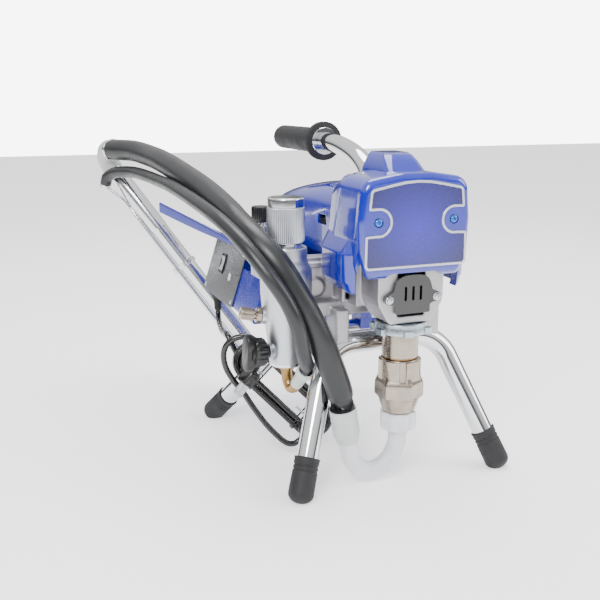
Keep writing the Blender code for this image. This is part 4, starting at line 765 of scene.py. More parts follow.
NUT_LOW, NUT_HIGH = 0.1785, 0.1912
lock_nut = piece("lock_nut_ring", turned(
    [(0.0184, NUT_HIGH), (0.0270, NUT_HIGH)] + corner_arc(0.0275, NUT_HIGH - 0.0015, 0.0015, 90, 0)
    + [(0.0290, 0.1860), (0.0300, 0.1835), (0.0300, 0.1800)]
    + corner_arc(0.0290, NUT_LOW + 0.0010, 0.0010, 0, -90) + [(0.0184, NUT_LOW)], 96, bored=True),
    zinc, pump_place, body="lock_nut", replaces=("jam_nut",))
for i in range(6):
    lug = filleted([(0.0262, -0.0058, 0), (0.0345, -0.0050, 0.0012), (0.0345, 0.0050, 0.0012),
                    (0.0262, 0.0058, 0)], 5)
    cut(lock_nut, prism(lug, NUT_LOW + 0.0001, 0.1850, "Z"),
        pump_place @ Matrix.Rotation(math.radians(60 * i + 18), 4, "Z"), "UNION")
soften(lock_nut, 0.0005, 2)

lobes = (8, 0.0011)
piece("suction_wing_nut", turned(
    [(0.0160, 0.0838), (0.0183, 0.0838), (0.0192, 0.0834, lobes), (0.0199, 0.0824, lobes),
     (0.0202, 0.0800, lobes), (0.0202, 0.0665, lobes), (0.0198, 0.0645, lobes), (0.0188, 0.0632, lobes),
     (0.0172, 0.0622), (0.0150, 0.0620), (0.0113, 0.0620), (0.0113, 0.0660), (0.0157, 0.0680),
     (0.0157, 0.0838)], 144, bored=True), nylon, pump_place, body="inlet_nut",
    replaces=("suction_nut",))

U_TUBE_ROUTE = [(0.0, PUMP_Y, 0.0790), (0.0, PUMP_Y, 0.0600), (-0.0015, PUMP_Y, 0.0430),
                (-0.0090, PUMP_Y, 0.0270), (-0.0210, PUMP_Y, 0.0175), (-0.0340, PUMP_Y, 0.0145),
                (-0.0470, PUMP_Y, 0.0190), (-0.0565, PUMP_Y, 0.0310), (-0.0618, PUMP_Y, 0.0460),
                (-0.0652, PUMP_Y, 0.0660)]
U_TUBE_R = 0.01075
piece("suction_u_tube", round_bar(smooth_path(U_TUBE_ROUTE, 0.003), U_TUBE_R, 48), nylon,
      replaces=("u_tube",))

# Rigid PVC connector: pale blue-grey, satin, with a moulding sink texture of 10 mm.
pvc, *parts = new_finish("pale_grey_pvc", "#b9c0bd", 0.0, 0.42, Subsurface_Weight=0.08,
                         Subsurface_Scale=0.002)
skin(*parts, 10, 0.03, rough=(0.34, 0.5), tint=("#aeb6b4", "#c6ccca"))
u_end = Vector(U_TUBE_ROUTE[-1])
u_up = (u_end - Vector(U_TUBE_ROUTE[-2])).normalized()
piece("hose_cuff", turned(
    corner_arc(0.0146, 0.0282, 0.0008, 90, 0) + [(0.0154, 0.0230), (0.0152, 0.0222), (0.0152, 0.0060),
    (0.0154, 0.0052), (0.0154, 0.0000)] + corner_arc(0.0142, -0.0012, 0.0012, 0, -60)
    + [(0.0136, -0.0060), (0.0128, -0.0100), (0.0124, -0.0104), (0.0112, -0.0104), (0.0112, 0.0004),
    (0.0095, 0.0006), (0.0095, 0.0290)], 80, bored=True), pvc, at(*u_end, u_up),
    replaces=("hose_connector",))

# ==================================================================== filter column
# Aluminium manifold with a screw cap over the filter, blasted and clear anodised, its
# neck, band and foot left bright from the lathe. The cap is straight-fluted for grip.
FILTER_X, FILTER_Y = -0.117, 0.073
FILTER_BODY_R, FILTER_CAP_R = 0.0235, 0.0208
FILTER_LOW, FILTER_HIGH = 0.137, 0.272
CAP_LOW, CAP_HIGH = 0.2775, 0.327
filter_place = at(FILTER_X, FILTER_Y, 0)

# Blasted anodised aluminium: even satin silver with 0.9 mm grain.
satin, *parts = new_finish("blasted_anodised_aluminium", "#c3c6cc", 1.0, 0.4)
skin(*parts, 14, 0, rough=(0.34, 0.46), tint=("#b7bac1", "#ced1d6"))
skin(*parts, 0.9, 0.02)
# Lathe-bright aluminium: near mirror with rings 0.7 mm apart.
bright_alu, *parts = new_finish("lathe_bright_aluminium", "#dadbde", 1.0, 0.16)
skin(*parts, 0.7, 0.006, rough=(0.10, 0.24), stretch=(0.02, 0.02, 1))

piece("manifold_body", turned(
    [(0.0168, FILTER_HIGH + 0.0004), (FILTER_BODY_R - 0.0016, FILTER_HIGH + 0.0004)]
    + corner_arc(FILTER_BODY_R - 0.0016, FILTER_HIGH - 0.0012, 0.0016, 90, 0)
    + [(FILTER_BODY_R, 0.2600), (0.0237, 0.2575), (0.0246, 0.2545), (0.0262, 0.2515), (0.0278, 0.2490),
       (0.0286, 0.2460), (0.0289, 0.2420), (0.0290, 0.2380), (0.0290, 0.2300)]
    + [(0.0290 - 0.0092 * (1 - math.cos(math.pi * t)) / 2, 0.2300 - 0.0890 * t)
       for t in (i / 16 for i in range(1, 17))]
    + [(0.0050, 0.1410), (0.0050, 0.1570), (0.0140, 0.1610), (0.0140, FILTER_HIGH + 0.0004)],
    96, bored=True), satin, filter_place, replaces=("filter_manifold",))
piece("manifold_foot", turned(
    [(0.0199, 0.1409), (0.0199, 0.1390)] + corner_arc(0.0186, 0.1385, 0.0013, 20, -90)
    + [(0.0050, 0.1372), (0.0050, 0.1409)], 96, bored=True), bright_alu, filter_place)
piece("manifold_neck", turned(
    [(0.0140, CAP_HIGH - 0.020), (0.0167, CAP_HIGH - 0.020), (0.0167, FILTER_HIGH + 0.0046)]
    + corner_arc(0.0172, FILTER_HIGH + 0.0036, 0.0008, 90, -90)
    + [(0.0176, FILTER_HIGH + 0.0005), (0.0140, FILTER_HIGH + 0.0005)], 96, bored=True),
    bright_alu, filter_place)

flutes = (60, 0.00032)
piece("filter_cap_grip", turned(
    [(0.0172, CAP_LOW), (FILTER_CAP_R - 0.0018, CAP_LOW), (FILTER_CAP_R - 0.0008, CAP_LOW + 0.0005),
     (FILTER_CAP_R - 0.0002, CAP_LOW + 0.0016, flutes), (FILTER_CAP_R, CAP_LOW + 0.0030, flutes),
     (FILTER_CAP_R, CAP_HIGH - 0.0125, flutes), (FILTER_CAP_R - 0.0002, CAP_HIGH - 0.0112, flutes),
     (FILTER_CAP_R - 0.0009, CAP_HIGH - 0.0104), (0.0172, CAP_HIGH - 0.0104)], 480, bored=True),
    satin, filter_place, body="cap", replaces=("filter_cap",))
piece("filter_cap_band", turned(
    [(0, CAP_HIGH - 0.0006), (0.0120, CAP_HIGH - 0.0004), (0.0174, CAP_HIGH)]
    + corner_arc(0.0184, CAP_HIGH - 0.0018, 0.0018, 90, 0)
    + [(FILTER_CAP_R - 0.0005, CAP_HIGH - 0.0024), (FILTER_CAP_R - 0.0004, CAP_HIGH - 0.0098)]
    + [(FILTER_CAP_R - 0.0010, CAP_HIGH - 0.0103), (0, CAP_HIGH - 0.0103)], 96),
    bright_alu, filter_place, body="cap")

# Outlet: a boss on the manifold, a hexagon nipple and its open end.
OUTLET_AXIS = Vector((-1.0, 0.12, 0.18)).normalized()
OUTLET_Z, OUTLET_FACE = 0.1905, 0.0292
outlet = at(FILTER_X, FILTER_Y, OUTLET_Z, OUTLET_AXIS)
piece("outlet_boss", turned([(0.0090, 0.0120)] + corner_arc(0.0082, OUTLET_FACE - 0.0008, 0.0008, 0, 90)
                            + [(0, OUTLET_FACE)], 56), satin, outlet)
thread = [(0.0072 - 0.0004 * (i % 2), OUTLET_FACE + 0.0096 + 0.00065 * i) for i in range(21)]
piece("outlet_threaded_nipple", turned(
    [(0.0030, OUTLET_FACE + 0.0003), (0.0078, OUTLET_FACE + 0.0003), (0.0082, OUTLET_FACE + 0.0008, "hex"),
     (0.0082, OUTLET_FACE + 0.0056, "hex"), (0.0078, OUTLET_FACE + 0.0063), (0.0052, OUTLET_FACE + 0.0066),
     (0.0052, OUTLET_FACE + 0.0094)] + thread + [(0.0066, OUTLET_FACE + 0.0238),
     (0.0060, OUTLET_FACE + 0.0243), (0.0030, OUTLET_FACE + 0.0243)], 72, bored=True),
    stainless, outlet, replaces=("outlet_nipple",))

# Drain valve: black ribbed barrel and a two-lobed turning grip.
PRIME_AXIS = Vector((-1.0, -0.12, 0.05)).normalized()
PRIME_POINT = Vector((-0.1420, 0.0690, 0.1555))
# Glass-filled black nylon: satin, faint flow streaks and a 1 mm grain.
grip_black, *parts = new_finish("satin_black_nylon", "#101012", 0.0, 0.36)
skin(*parts, 18, 0, rough=(0.26, 0.46), tint=("#0b0b0d", "#19191b"))
skin(*parts, 1.0, 0.015)
prime_place = at(*PRIME_POINT, PRIME_AXIS)
ribs = (18, 0.0006)
piece("drain_valve_boss", turned([(0.0084, -0.0110), (0.0084, -0.0020)]
                                 + corner_arc(0.0080, -0.0018, 0.0005, 0, 90) + [(0, -0.0013)], 48),
      satin, prime_place)
knob = piece("drain_valve_grip", turned(
    [(0, -0.0010), (0.0060, -0.0010), (0.0060, 0.0040), (0.0120, 0.0040), (0.0148, 0.0043),
     (0.0155, 0.0052, ribs), (0.0160, 0.0148, ribs), (0.0153, 0.0166, ribs), (0.0140, 0.0178),
     (0.0112, 0.0186), (0.0110, 0.0215), (0, 0.0215)], 180), grip_black, prime_place,
    body="prime_lever", replaces=("prime_knob",))
wings = []
for i in range(72):
    angle = 2 * math.pi * i / 72
    r = 0.0098 + 0.0112 * abs(math.sin(angle)) ** 3
    wings.append((r * math.cos(angle) * 0.9, r * math.sin(angle)))
lever = []
for z, shrink in ((0.0168, 0.86), (0.0176, 0.96), (0.0192, 1.0), (0.0248, 1.0), (0.0262, 0.95),
                  (0.0270, 0.84)):
    lever.append([(x * shrink, y * shrink, z) for x, y in wings])
cut(knob, loft(lever), prime_place, "UNION")

# Drain elbow: cast bronze, then a pale connector for the drain hose.
# Rumbled bronze casting: warm brown-gold with dull 5 mm patches.
bronze, *parts = new_finish("rumbled_bronze", "#9b7a4c", 1.0, 0.32)
skin(*parts, 5, 0.02, rough=(0.22, 0.45), tint=("#836339", "#b39262"))
DRAIN_HOSE_ROUTE = [
    (-0.1102, 0.0300, 0.1416), (-0.1098, 0.0258, 0.1459), (-0.1212, 0.0100, 0.1680),
    (-0.1312, 0.0010, 0.1992), (-0.1430, 0.0035, 0.2275), (-0.1604, 0.0130, 0.2562),
    (-0.1765, 0.0400, 0.2840), (-0.1850, 0.0720, 0.2985), (-0.1905, 0.0980, 0.3065),
    (-0.1975, 0.1650, 0.3170), (-0.2030, 0.2430, 0.3250), (-0.2066, 0.3000, 0.3275),
    (-0.2125, 0.3500, 0.3300), (-0.2201, 0.3950, 0.3315), (-0.2310, 0.4250, 0.3305),
    (-0.2415, 0.4480, 0.3270), (-0.2490, 0.4600, 0.3200), (-0.2505, 0.4640, 0.3110)]
elbow_top = FILTER_LOW - 0.0003
elbow_end = Vector((FILTER_X + 0.0040, FILTER_Y - 0.0195, elbow_top - 0.0190))
drain_start = Vector(DRAIN_HOSE_ROUTE[0])
drain_way = (drain_start - elbow_end).normalized()
elbow_route = [(FILTER_X, FILTER_Y, elbow_top), (FILTER_X, FILTER_Y - 0.0005, elbow_top - 0.0110),
               (FILTER_X + 0.0007, FILTER_Y - 0.0030, elbow_top - 0.0200),
               (FILTER_X + 0.0018, FILTER_Y - 0.0080, elbow_top - 0.0255),
               elbow_end - drain_way * 0.0070, elbow_end]
piece("drain_elbow_tube", round_bar(smooth_path(elbow_route, 0.0022), 0.0062, 40), bronze,
      replaces=("drain_elbow",))
piece("drain_elbow_hexagon", turned([(0, elbow_top), (0.0070, elbow_top), (0.0080, elbow_top - 0.0006, "hex"),
                                     (0.0080, elbow_top - 0.0056, "hex"), (0.0066, elbow_top - 0.0064),
                                     (0, elbow_top - 0.0064)], 72), bronze, filter_place)
cuff_length = (drain_start - elbow_end).length
piece("drain_hose_cuff", turned(
    [(0, cuff_length - 0.0003), (0.0086, cuff_length - 0.0003)]
    + corner_arc(0.0087, cuff_length - 0.0012, 0.0008, 90, 0)
    + [(0.0095, cuff_length - 0.0085), (0.0090, cuff_length - 0.0098), (0.0074, cuff_length - 0.0126),
       (0.0070, 0.0020), (0.0066, 0.0008), (0, 0.0008)], 64), pvc,
    at(*elbow_end, drain_way), replaces=("drain_connector",))

# Pressure control behind the column: a switch block, its hexagon and a ribbed dial knob.
DIAL_X, DIAL_Y = -0.1270, 0.1300
control = piece("pressure_switch_block", block((DIAL_X - 0.010, 0.1075, 0.2300),
                                               (DIAL_X + 0.012, DIAL_Y + 0.008, 0.2480)),
                cast, replaces=("pressure_control",))
cut(control, block((-0.118, 0.1075, 0.2320), (-0.095, 0.1180, 0.2460)), operation="UNION")
soften(control, 0.0014)
piece("pressure_switch_hexagon", turned(
    [(0, 0.2930), (0.0090, 0.2930), (0.0095, 0.2925), (0.0095, 0.2897), (0.0112, 0.2892),
     (0.0120, 0.2884, "hex"), (0.0120, 0.2706, "hex"), (0.0108, 0.2694), (0.0100, 0.2686),
     (0.0100, 0.2470), (0, 0.2470)], 72), bright, at(DIAL_X, DIAL_Y, 0))
dial_ribs = (24, 0.0004)
piece("pressure_dial_knob", turned(
    [(0, 0.3106), (0.0070, 0.3106), (0.0078, 0.3110), (0.0090, 0.3110), (0.0097, 0.3106),
     (0.0101, 0.3096, dial_ribs), (0.0101, 0.2972, dial_ribs), (0.0099, 0.2962), (0.0095, 0.2955),
     (0.0095, 0.2938), (0.0092, 0.2935), (0, 0.2935)], 192), grip_black,
    at(DIAL_X, DIAL_Y, 0), body="pressure_dial", replaces=("pressure_knob",))

# ==================================================================== control box
# Folded sheet steel box clamped under the motor, powder coated in the same blue, with a
# sloping left side for the controls. A brushed steel plate is fixed on that side.
BOX_FRONT, BOX_BACK = 0.140, 0.360
BOX_LOW, BOX_HIGH = 0.168, 0.243
BOX_LEFT_LOW, BOX_LEFT_HIGH, BOX_RIGHT = -0.136, -0.112, 0.056
BOX_WALL = 0.002
PANEL_FRONT, PANEL_BACK, PANEL_T = 0.222, 0.356, 0.0015
SWITCH_Y, SWITCH_Z = 0.3000, 0.2130
LAMP_Y, LAMP_Z = 0.2580, 0.2020
STRAIN_X, STRAIN_Y = -0.1270, 0.3180

# Gloss powder coat over steel: the cover's blue with a 2 mm orange peel.
coat, *parts = new_finish("blue_powder_coat", "#0527a4", 0.0, 0.22, Coat_Weight=0.8,
                          Coat_Roughness=0.08)
skin(*parts, 25, 0, rough=(0.18, 0.3), tint=("#02158e", "#041ca2"))
skin(*parts, 2.2, 0.03)
# Brushed stainless plate: dark grey with hairlines along its length, drawn 0.6 mm apart.
brushed, *parts = new_finish("brushed_stainless_plate", "#77777a", 1.0, 0.34)
skin(*parts, 0.6, 0.012, rough=(0.24, 0.42), stretch=(1, 0.03, 1), tint=("#6a6a6d", "#88888b"))
# Light grey ABS of the switch, satin from a spark-eroded mould.
pale_abs, *parts = new_finish("pale_grey_abs", "#b4b5b3", 0.0, 0.45)
skin(*parts, 9, 0, rough=(0.38, 0.52), tint=("#a9aaa8", "#bfc0be"))
skin(*parts, 0.8, 0.015)


def box_left(z):
    share = (z - BOX_LOW) / (BOX_HIGH - BOX_LOW)
    return BOX_LEFT_LOW + (BOX_LEFT_HIGH - BOX_LEFT_LOW) * share


def on_panel(y, z):
    """On the sloping left face of the box: local Z out of the face, local X rearward."""
    out = Vector((-(BOX_HIGH - BOX_LOW), 0, BOX_LEFT_HIGH - BOX_LEFT_LOW)).normalized()
    axes = Matrix((Y_AXIS, out.cross(Y_AXIS), out)).transposed().to_4x4()
    return Matrix.Translation((box_left(z), y, z)) @ axes


fold = 0.0030
sheet = filleted([(BOX_LEFT_LOW, BOX_LOW, fold), (BOX_RIGHT, BOX_LOW, fold), (BOX_RIGHT, BOX_HIGH, 0),
                  (BOX_LEFT_HIGH, BOX_HIGH, 0)], 6)
inside = filleted([(BOX_LEFT_LOW + BOX_WALL * 1.1, BOX_LOW + BOX_WALL, fold - BOX_WALL * 0.7),
                   (BOX_RIGHT - BOX_WALL, BOX_LOW + BOX_WALL, fold - BOX_WALL * 0.7),
                   (BOX_RIGHT - BOX_WALL, BOX_HIGH + 0.01, 0),
                   (box_left(BOX_HIGH) + BOX_WALL * 1.1, BOX_HIGH + 0.01, 0)], 4)
tray = piece("control_box_sheet", prism(sheet, BOX_FRONT, BOX_BACK), coat,
             replaces=("control_box",))
cut(tray, prism(inside, BOX_FRONT + BOX_WALL, BOX_BACK - BOX_WALL))
for sign in (-1, 1):
    low_x, high_x = sorted((sign * 0.018, sign * 0.034))
    cut(tray, block((low_x, 0.160, 0.1420), (high_x, 0.188, BOX_LOW + 0.001)), operation="UNION")
cut(tray, round_bar(leg_path(REAR_TRACK, REAR_FOOT_Y, REAR_BAR), LEG_TUBE_R + 0.0008, 32))
cut(tray, block((-0.0080, -0.0120, -0.02), (0.0080, 0.0120, 0.01)), on_panel(SWITCH_Y, SWITCH_Z))
cut(tray, turned([(0.0040, 0.01), (0.0040, -0.02)], 32), on_panel(LAMP_Y, LAMP_Z))
cut(tray, turned([(0.0052, 0.02), (0.0052, -0.02)], 32), at(STRAIN_X, STRAIN_Y, BOX_LOW))
soften(tray, 0.0006, 2)

plate_half = math.hypot(BOX_LEFT_HIGH - BOX_LEFT_LOW, BOX_HIGH - BOX_LOW) / 2 - 0.001
plate_length = PANEL_BACK - PANEL_FRONT
plate = prism(filleted([(-plate_length / 2, -plate_half, 0.004), (plate_length / 2, -plate_half, 0.004),
                        (plate_length / 2, plate_half, 0.004), (-plate_length / 2, plate_half, 0.004)], 5),
              0.0003, 0.0003 + PANEL_T, "Z")
panel = piece("control_plate", plate, brushed,
              on_panel((PANEL_FRONT + PANEL_BACK) / 2, (BOX_LOW + BOX_HIGH) / 2), replaces=("control_panel",))
cut(panel, block((-0.0068, -0.0105, -0.02), (0.0068, 0.0105, 0.02)), on_panel(SWITCH_Y, SWITCH_Z))
cut(panel, turned([(0.0037, 0.02), (0.0037, -0.02)], 40), on_panel(LAMP_Y, LAMP_Z))
soften(panel, 0.0004, 2)
for y, z in ((PANEL_FRONT + 0.007, 0.1755), (PANEL_FRONT + 0.007, 0.2355), (PANEL_BACK - 0.007, 0.1755)):
    rivet = [(0, 0.0030), (0.0012, 0.0029), (0.0021, 0.0025), (0.0027, 0.0020), (0.0028, 0.0015), (0, 0.0015)]
    piece(f"plate_rivet_{round(y * 1000)}_{round(z * 1000)}", turned(rivet, 32), bright,
          on_panel(y, z))

# Rocker switch with a moulded frame, and a round pilot light with a bezel.
rocker = [(-0.0100, 0.0015), (-0.0060, -0.0060), (0.0060, -0.0060), (0.0100, 0.0015), (0.0096, 0.0046),
          (0.0070, 0.0034), (0.0030, 0.0026), (0.0, 0.0024), (-0.0030, 0.0026), (-0.0070, 0.0034),
          (-0.0096, 0.0046)]
piece("rocker_key", prism(rocker, -0.0060, 0.0060, "X"), pale_abs,
      on_panel(SWITCH_Y, SWITCH_Z), body="rocker", replaces=("power_switch",), edge=0.0006)
window = [(-0.0067, -0.0114), (0.0067, -0.0114), (0.0067, 0.0114), (-0.0067, 0.0114)]
bezel = [[(x, y, z) for x, y in grown(window, g)] for g, z in
         ((0.0, 0.0018), (0.0, 0.0030), (0.0003, 0.0034), (0.0016, 0.0034), (0.0020, 0.0030),
          (0.0021, 0.0018))]
piece("rocker_frame", loft(bezel, ring=True), grip_black, on_panel(SWITCH_Y, SWITCH_Z))
# Clear white lens of the pilot light.
lens, *parts = new_finish("frosted_pilot_lens", "#e6e9ea", 0.0, 0.2, Coat_Weight=0.5)
skin(*parts, 1.5, 0.03, rough=(0.12, 0.3))
lamp_place = on_panel(LAMP_Y, LAMP_Z)
piece("pilot_bezel", turned([(0.0033, -0.0040), (0.0036, 0.0021), (0.0052, 0.0020)]
                            + corner_arc(0.0046, 0.0026, 0.0006, 0, 90) + [(0.0038, 0.0030),
                            (0.0034, 0.0026), (0, 0.0026), (0, -0.0040)], 56), bright_alu,
      lamp_place, replaces=("indicator_lamp",))
piece("pilot_lens", turned([(0, 0.0039), (0.0010, 0.0038), (0.0020, 0.0035), (0.0028, 0.0031),
                            (0.0032, 0.0027), (0, 0.0027)], 48), lens, lamp_place)

# Hood over the plate: a flared blade in the same blue, which widens to the rear.
hood_rows = [(-0.1165, 0.236, 0.2470, -0.1120, 0.236, 0.2470, 0.0036),
             (-0.1480, 0.310, 0.2660, -0.1100, 0.310, 0.2480, 0.0110),
             (-0.1870, 0.400, 0.2880, -0.1450, 0.398, 0.2660, 0.0140)]
sections = []
for i in range(25):
    ox, oy, oz, ix, iy, iz, depth = between(hood_rows, i / 24)
    r = min(0.0016, depth * 0.3)
    lip = [(ox, oy, oz - depth), (ox, oy, oz - r), (ox + r * 0.3, oy, oz - r * 0.3), (ox + r, oy, oz)]
    lip += [(ix, iy, iz), (ix, iy, iz - 0.0028), (ox + 0.0042, oy, oz - 0.0052 * depth / 0.014 - 0.0008),
            (ox + 0.0034, oy, oz - depth)]
    sections.append(lip)
hood = piece("panel_hood_blade", loft(sections), coat, replaces=("panel_hood",))
cut(hood, block((-0.1160, 0.2400, 0.2436), (-0.1080, 0.3500, 0.2480)), operation="UNION")
soften(hood, 0.0006, 2)

# ==================================================================== suction hose
# 29 mm black rubber hose, extruded and pushed over the cuff on the pump's U tube. It runs
# up and back to the elbow of the suction tube, and its length is that of its route.
SUCTION_HOSE_R, DRAIN_HOSE_R, CORD_R = 0.0147, 0.0080, 0.0037
SUCTION_HOSE_ROUTE = [
    (-0.0700, 0.0200, 0.0952), (-0.0717, 0.0200, 0.1050), (-0.0768, 0.0190, 0.1235),
    (-0.0904, 0.0180, 0.1588), (-0.1019, 0.0190, 0.1857), (-0.1196, 0.0240, 0.2216),
    (-0.1399, 0.0360, 0.2593), (-0.1556, 0.0580, 0.2820), (-0.1649, 0.0950, 0.2985),
    (-0.1686, 0.1300, 0.3100), (-0.1761, 0.2000, 0.3268), (-0.1936, 0.3100, 0.3483),
    (-0.2032, 0.3700, 0.3552), (-0.2164, 0.4150, 0.3598), (-0.2383, 0.4600, 0.3599)]

# Extruded nitrile rubber: black, half bright, slow 25 mm tone changes and a 2.5 mm grain.
hose_rubber, *parts = new_finish("extruded_hose_rubber", "#17181a", 0.0, 0.36, Sheen_Weight=0.04,
                                 Sheen_Roughness=0.4, Specular_IOR_Level=0.5)
skin(*parts, 25, 0.10, rough=(0.28, 0.44), tint=("#121315", "#1f2023"))
skin(*parts, 2.5, 0.02)


def flexible(name, route, radius, material, nodes, step):
    """A hose or cord on its route, and its length."""
    points = [Vector(p) for p in route]
    lead = (points[1] - points[0]).normalized() * radius * 0.8
    trail = (points[-1] - points[-2]).normalized() * radius * 0.8
    inner = smooth_path([points[0] + lead, *points[1:-1], points[-1] - trail], step)
    line = [base + p for p in (points[0], *inner, points[-1])]
    curve = bpy.data.curves.new(name, "CURVE")
    curve.dimensions, curve.bevel_depth, curve.bevel_resolution = "3D", radius, 10
    curve.use_fill_caps = True
    spline = curve.splines.new("POLY")
    spline.points.add(len(line) - 1)
    for point, place in zip(spline.points, line):
        point.co = (*place, 1)
    curve.materials.append(material)
    obj = bpy.data.objects.new(name, curve)
    bpy.context.scene.collection.objects.link(obj)
    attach(obj, "machine")
    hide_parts(*nodes)
    return obj, line[0], sum((b - a).length for a, b in zip(line, line[1:]))


suction_hose, suction_exit, suction_length = flexible(
    "suction_hose_tube", SUCTION_HOSE_ROUTE, SUCTION_HOSE_R, hose_rubber, ("suction_hose",), 0.005)

# Suction tube: a moulded elbow, an aluminium tube with a bright sleeve, a perforated
# strainer, and a sprung clip that holds the thin drain tube beside it.
SUCTION_TOP = Vector((-0.2348, 0.4815, 0.3292))
SUCTION_FOOT = Vector((-0.0560, 0.3660, 0.0590))
DRAIN_PIPE_R, HEAD_R, HEAD_BEND_R = 0.0037, 0.0146, 0.0195
DRAIN_PIPE_OFFSET = Vector((-0.0131, 0.0027, -0.0096))
# Perforated stainless of the strainer: round holes 1.6 mm apart, drawn as pits with painted shade, near
# black.
strainer_steel, tree, shader, where = new_finish("perforated_stainless", "#a9a9a7", 1.0, 0.3)
holes = add_node(tree, "TexVoronoi", {"Vector": where, "Scale": 620.0, "Randomness": 0.15})
pit = add_node(tree, "MapRange", {"Value": holes.outputs["Distance"], "From Min": 0.28, "From Max": 0.38})
# Painted shade: each hole is coloured near black where the shade inside it would be.
hole_shade_mix = add_node(tree, "Mix", {"Factor": pit.outputs["Result"], 6: linear("#0c0c0c"),
                              7: linear("#b0b0ae")}, data_type="RGBA")
tree.links.new(hole_shade_mix.outputs[2], shader.inputs["Base Color"])
hole_bump = add_node(tree, "Bump", {"Height": pit.outputs["Result"], "Distance": 0.0004})
tree.links.new(hole_bump.outputs["Normal"], shader.inputs["Normal"])

down = (SUCTION_FOOT - SUCTION_TOP).normalized()
pipe_length = (SUCTION_FOOT - SUCTION_TOP).length
pipe_place = at(*SUCTION_TOP, down)
SLEEVE = 0.112
piece("suction_tube_pipe", turned(
    [(0.0110, 0.0), (0.0128, 0.0), (0.0130, 0.0010), (0.0130, SLEEVE - 0.006)]
    + corner_arc(0.0124, SLEEVE - 0.004, 0.0006, 0, 70)
    + [(0.0123, SLEEVE), (0.0122, SLEEVE + 0.001), (0.0122, pipe_length), (0.0110, pipe_length)], 64,
    bored=True), bright_alu, pipe_place, replaces=("suction_tube",))
piece("suction_strainer", turned(
    [(0, pipe_length + 0.0240), (0.0100, pipe_length + 0.0239)]
    + corner_arc(0.0122, pipe_length + 0.0212, 0.0027, 80, 0)
    + [(0.0150, pipe_length + 0.0195), (0.0150, pipe_length + 0.0040), (0.0144, pipe_length + 0.0022),
       (0.0130, pipe_length + 0.0005), (0, pipe_length + 0.0005)], 64), strainer_steel,
    pipe_place, replaces=("strainer",))
hose_end = Vector(SUCTION_HOSE_ROUTE[-1])
ahead = (hose_end - Vector(SUCTION_HOSE_ROUTE[-2])).normalized()
inward = (down - ahead * down.dot(ahead)).normalized()
start = hose_end + ahead * 0.0003
turn = math.acos(ahead.dot(down))
bend = [start + ahead * 0.003 + HEAD_BEND_R * (ahead * math.sin(a) + inward * (1 - math.cos(a)))
        for a in (turn * i / 26 for i in range(27))]
head_path = [start, start + ahead * 0.0015, *bend, SUCTION_TOP - down * 0.0003]
suction_head = piece("suction_elbow_head", round_bar(head_path, HEAD_R, 56), pale_abs,
                     replaces=("suction_head",), edge=0.0008)
rim_ring = [(0.0147, 0.0)] + corner_arc(0.0151, 0.0008, 0.0006, -60, 60)
rim_ring += [(0.0147, 0.0060), (0.0140, 0.0060), (0.0140, 0.0)]
head_rim = piece("suction_head_rim", turned(rim_ring, 64, bored=True), bright_alu,
                 at(*start, ahead))
piece("drain_tube_clip", turned([(0.0128, 0.1700), (0.0142, 0.1700), (0.0148, 0.1706), (0.0148, 0.1774),
                                 (0.0142, 0.1780), (0.0128, 0.1780)], 56, bored=True),
      bright, pipe_place, replaces=("tube_clip",))
side_step = DRAIN_PIPE_OFFSET - down * DRAIN_PIPE_OFFSET.dot(down)
side_place = at(*(SUCTION_TOP + side_step), down)
piece("drain_tube_clip_eye", turned([(0.0042, 0.1702), (0.0058, 0.1702), (0.0063, 0.1708), (0.0063, 0.1772),
                                     (0.0058, 0.1778), (0.0042, 0.1778)], 40, bored=True),
      bright, side_place)

# ==================================================================== drain hose
# 16 mm black rubber hose from the drain elbow, alongside the suction hose, to the thin
# steel drain tube, where a crimped ferrule holds it. Its length is that of its route.
drain_hose, drain_exit, drain_length = flexible(
    "drain_hose_tube", DRAIN_HOSE_ROUTE, DRAIN_HOSE_R, hose_rubber, ("drain_hose",), 0.004)
drain_end = Vector(DRAIN_HOSE_ROUTE[-1])
way = (drain_end - Vector(DRAIN_HOSE_ROUTE[-2])).normalized()
pipe = [drain_end + way * 0.006]
pipe += [SUCTION_TOP + down * d + side_step for d in (0.050, 0.085, pipe_length * 0.6, pipe_length - 0.010)]
piece("drain_tube_pipe", round_bar([drain_end + way * 0.0003, *smooth_path(pipe, 0.005)], DRAIN_PIPE_R, 36),
      bright_alu, replaces=("drain_tube",))
ferrule = piece("drain_tube_ferrule", turned([(0.0036, 0.0002), (0.0074, 0.0002), (0.0078, 0.0008),
                                              (0.0078, 0.0040), (0.0070, 0.0052), (0.0048, 0.0070),
                                              (0.0040, 0.0075), (0.0036, 0.0075)], 48, bored=True),
                bright, at(*drain_end, way))

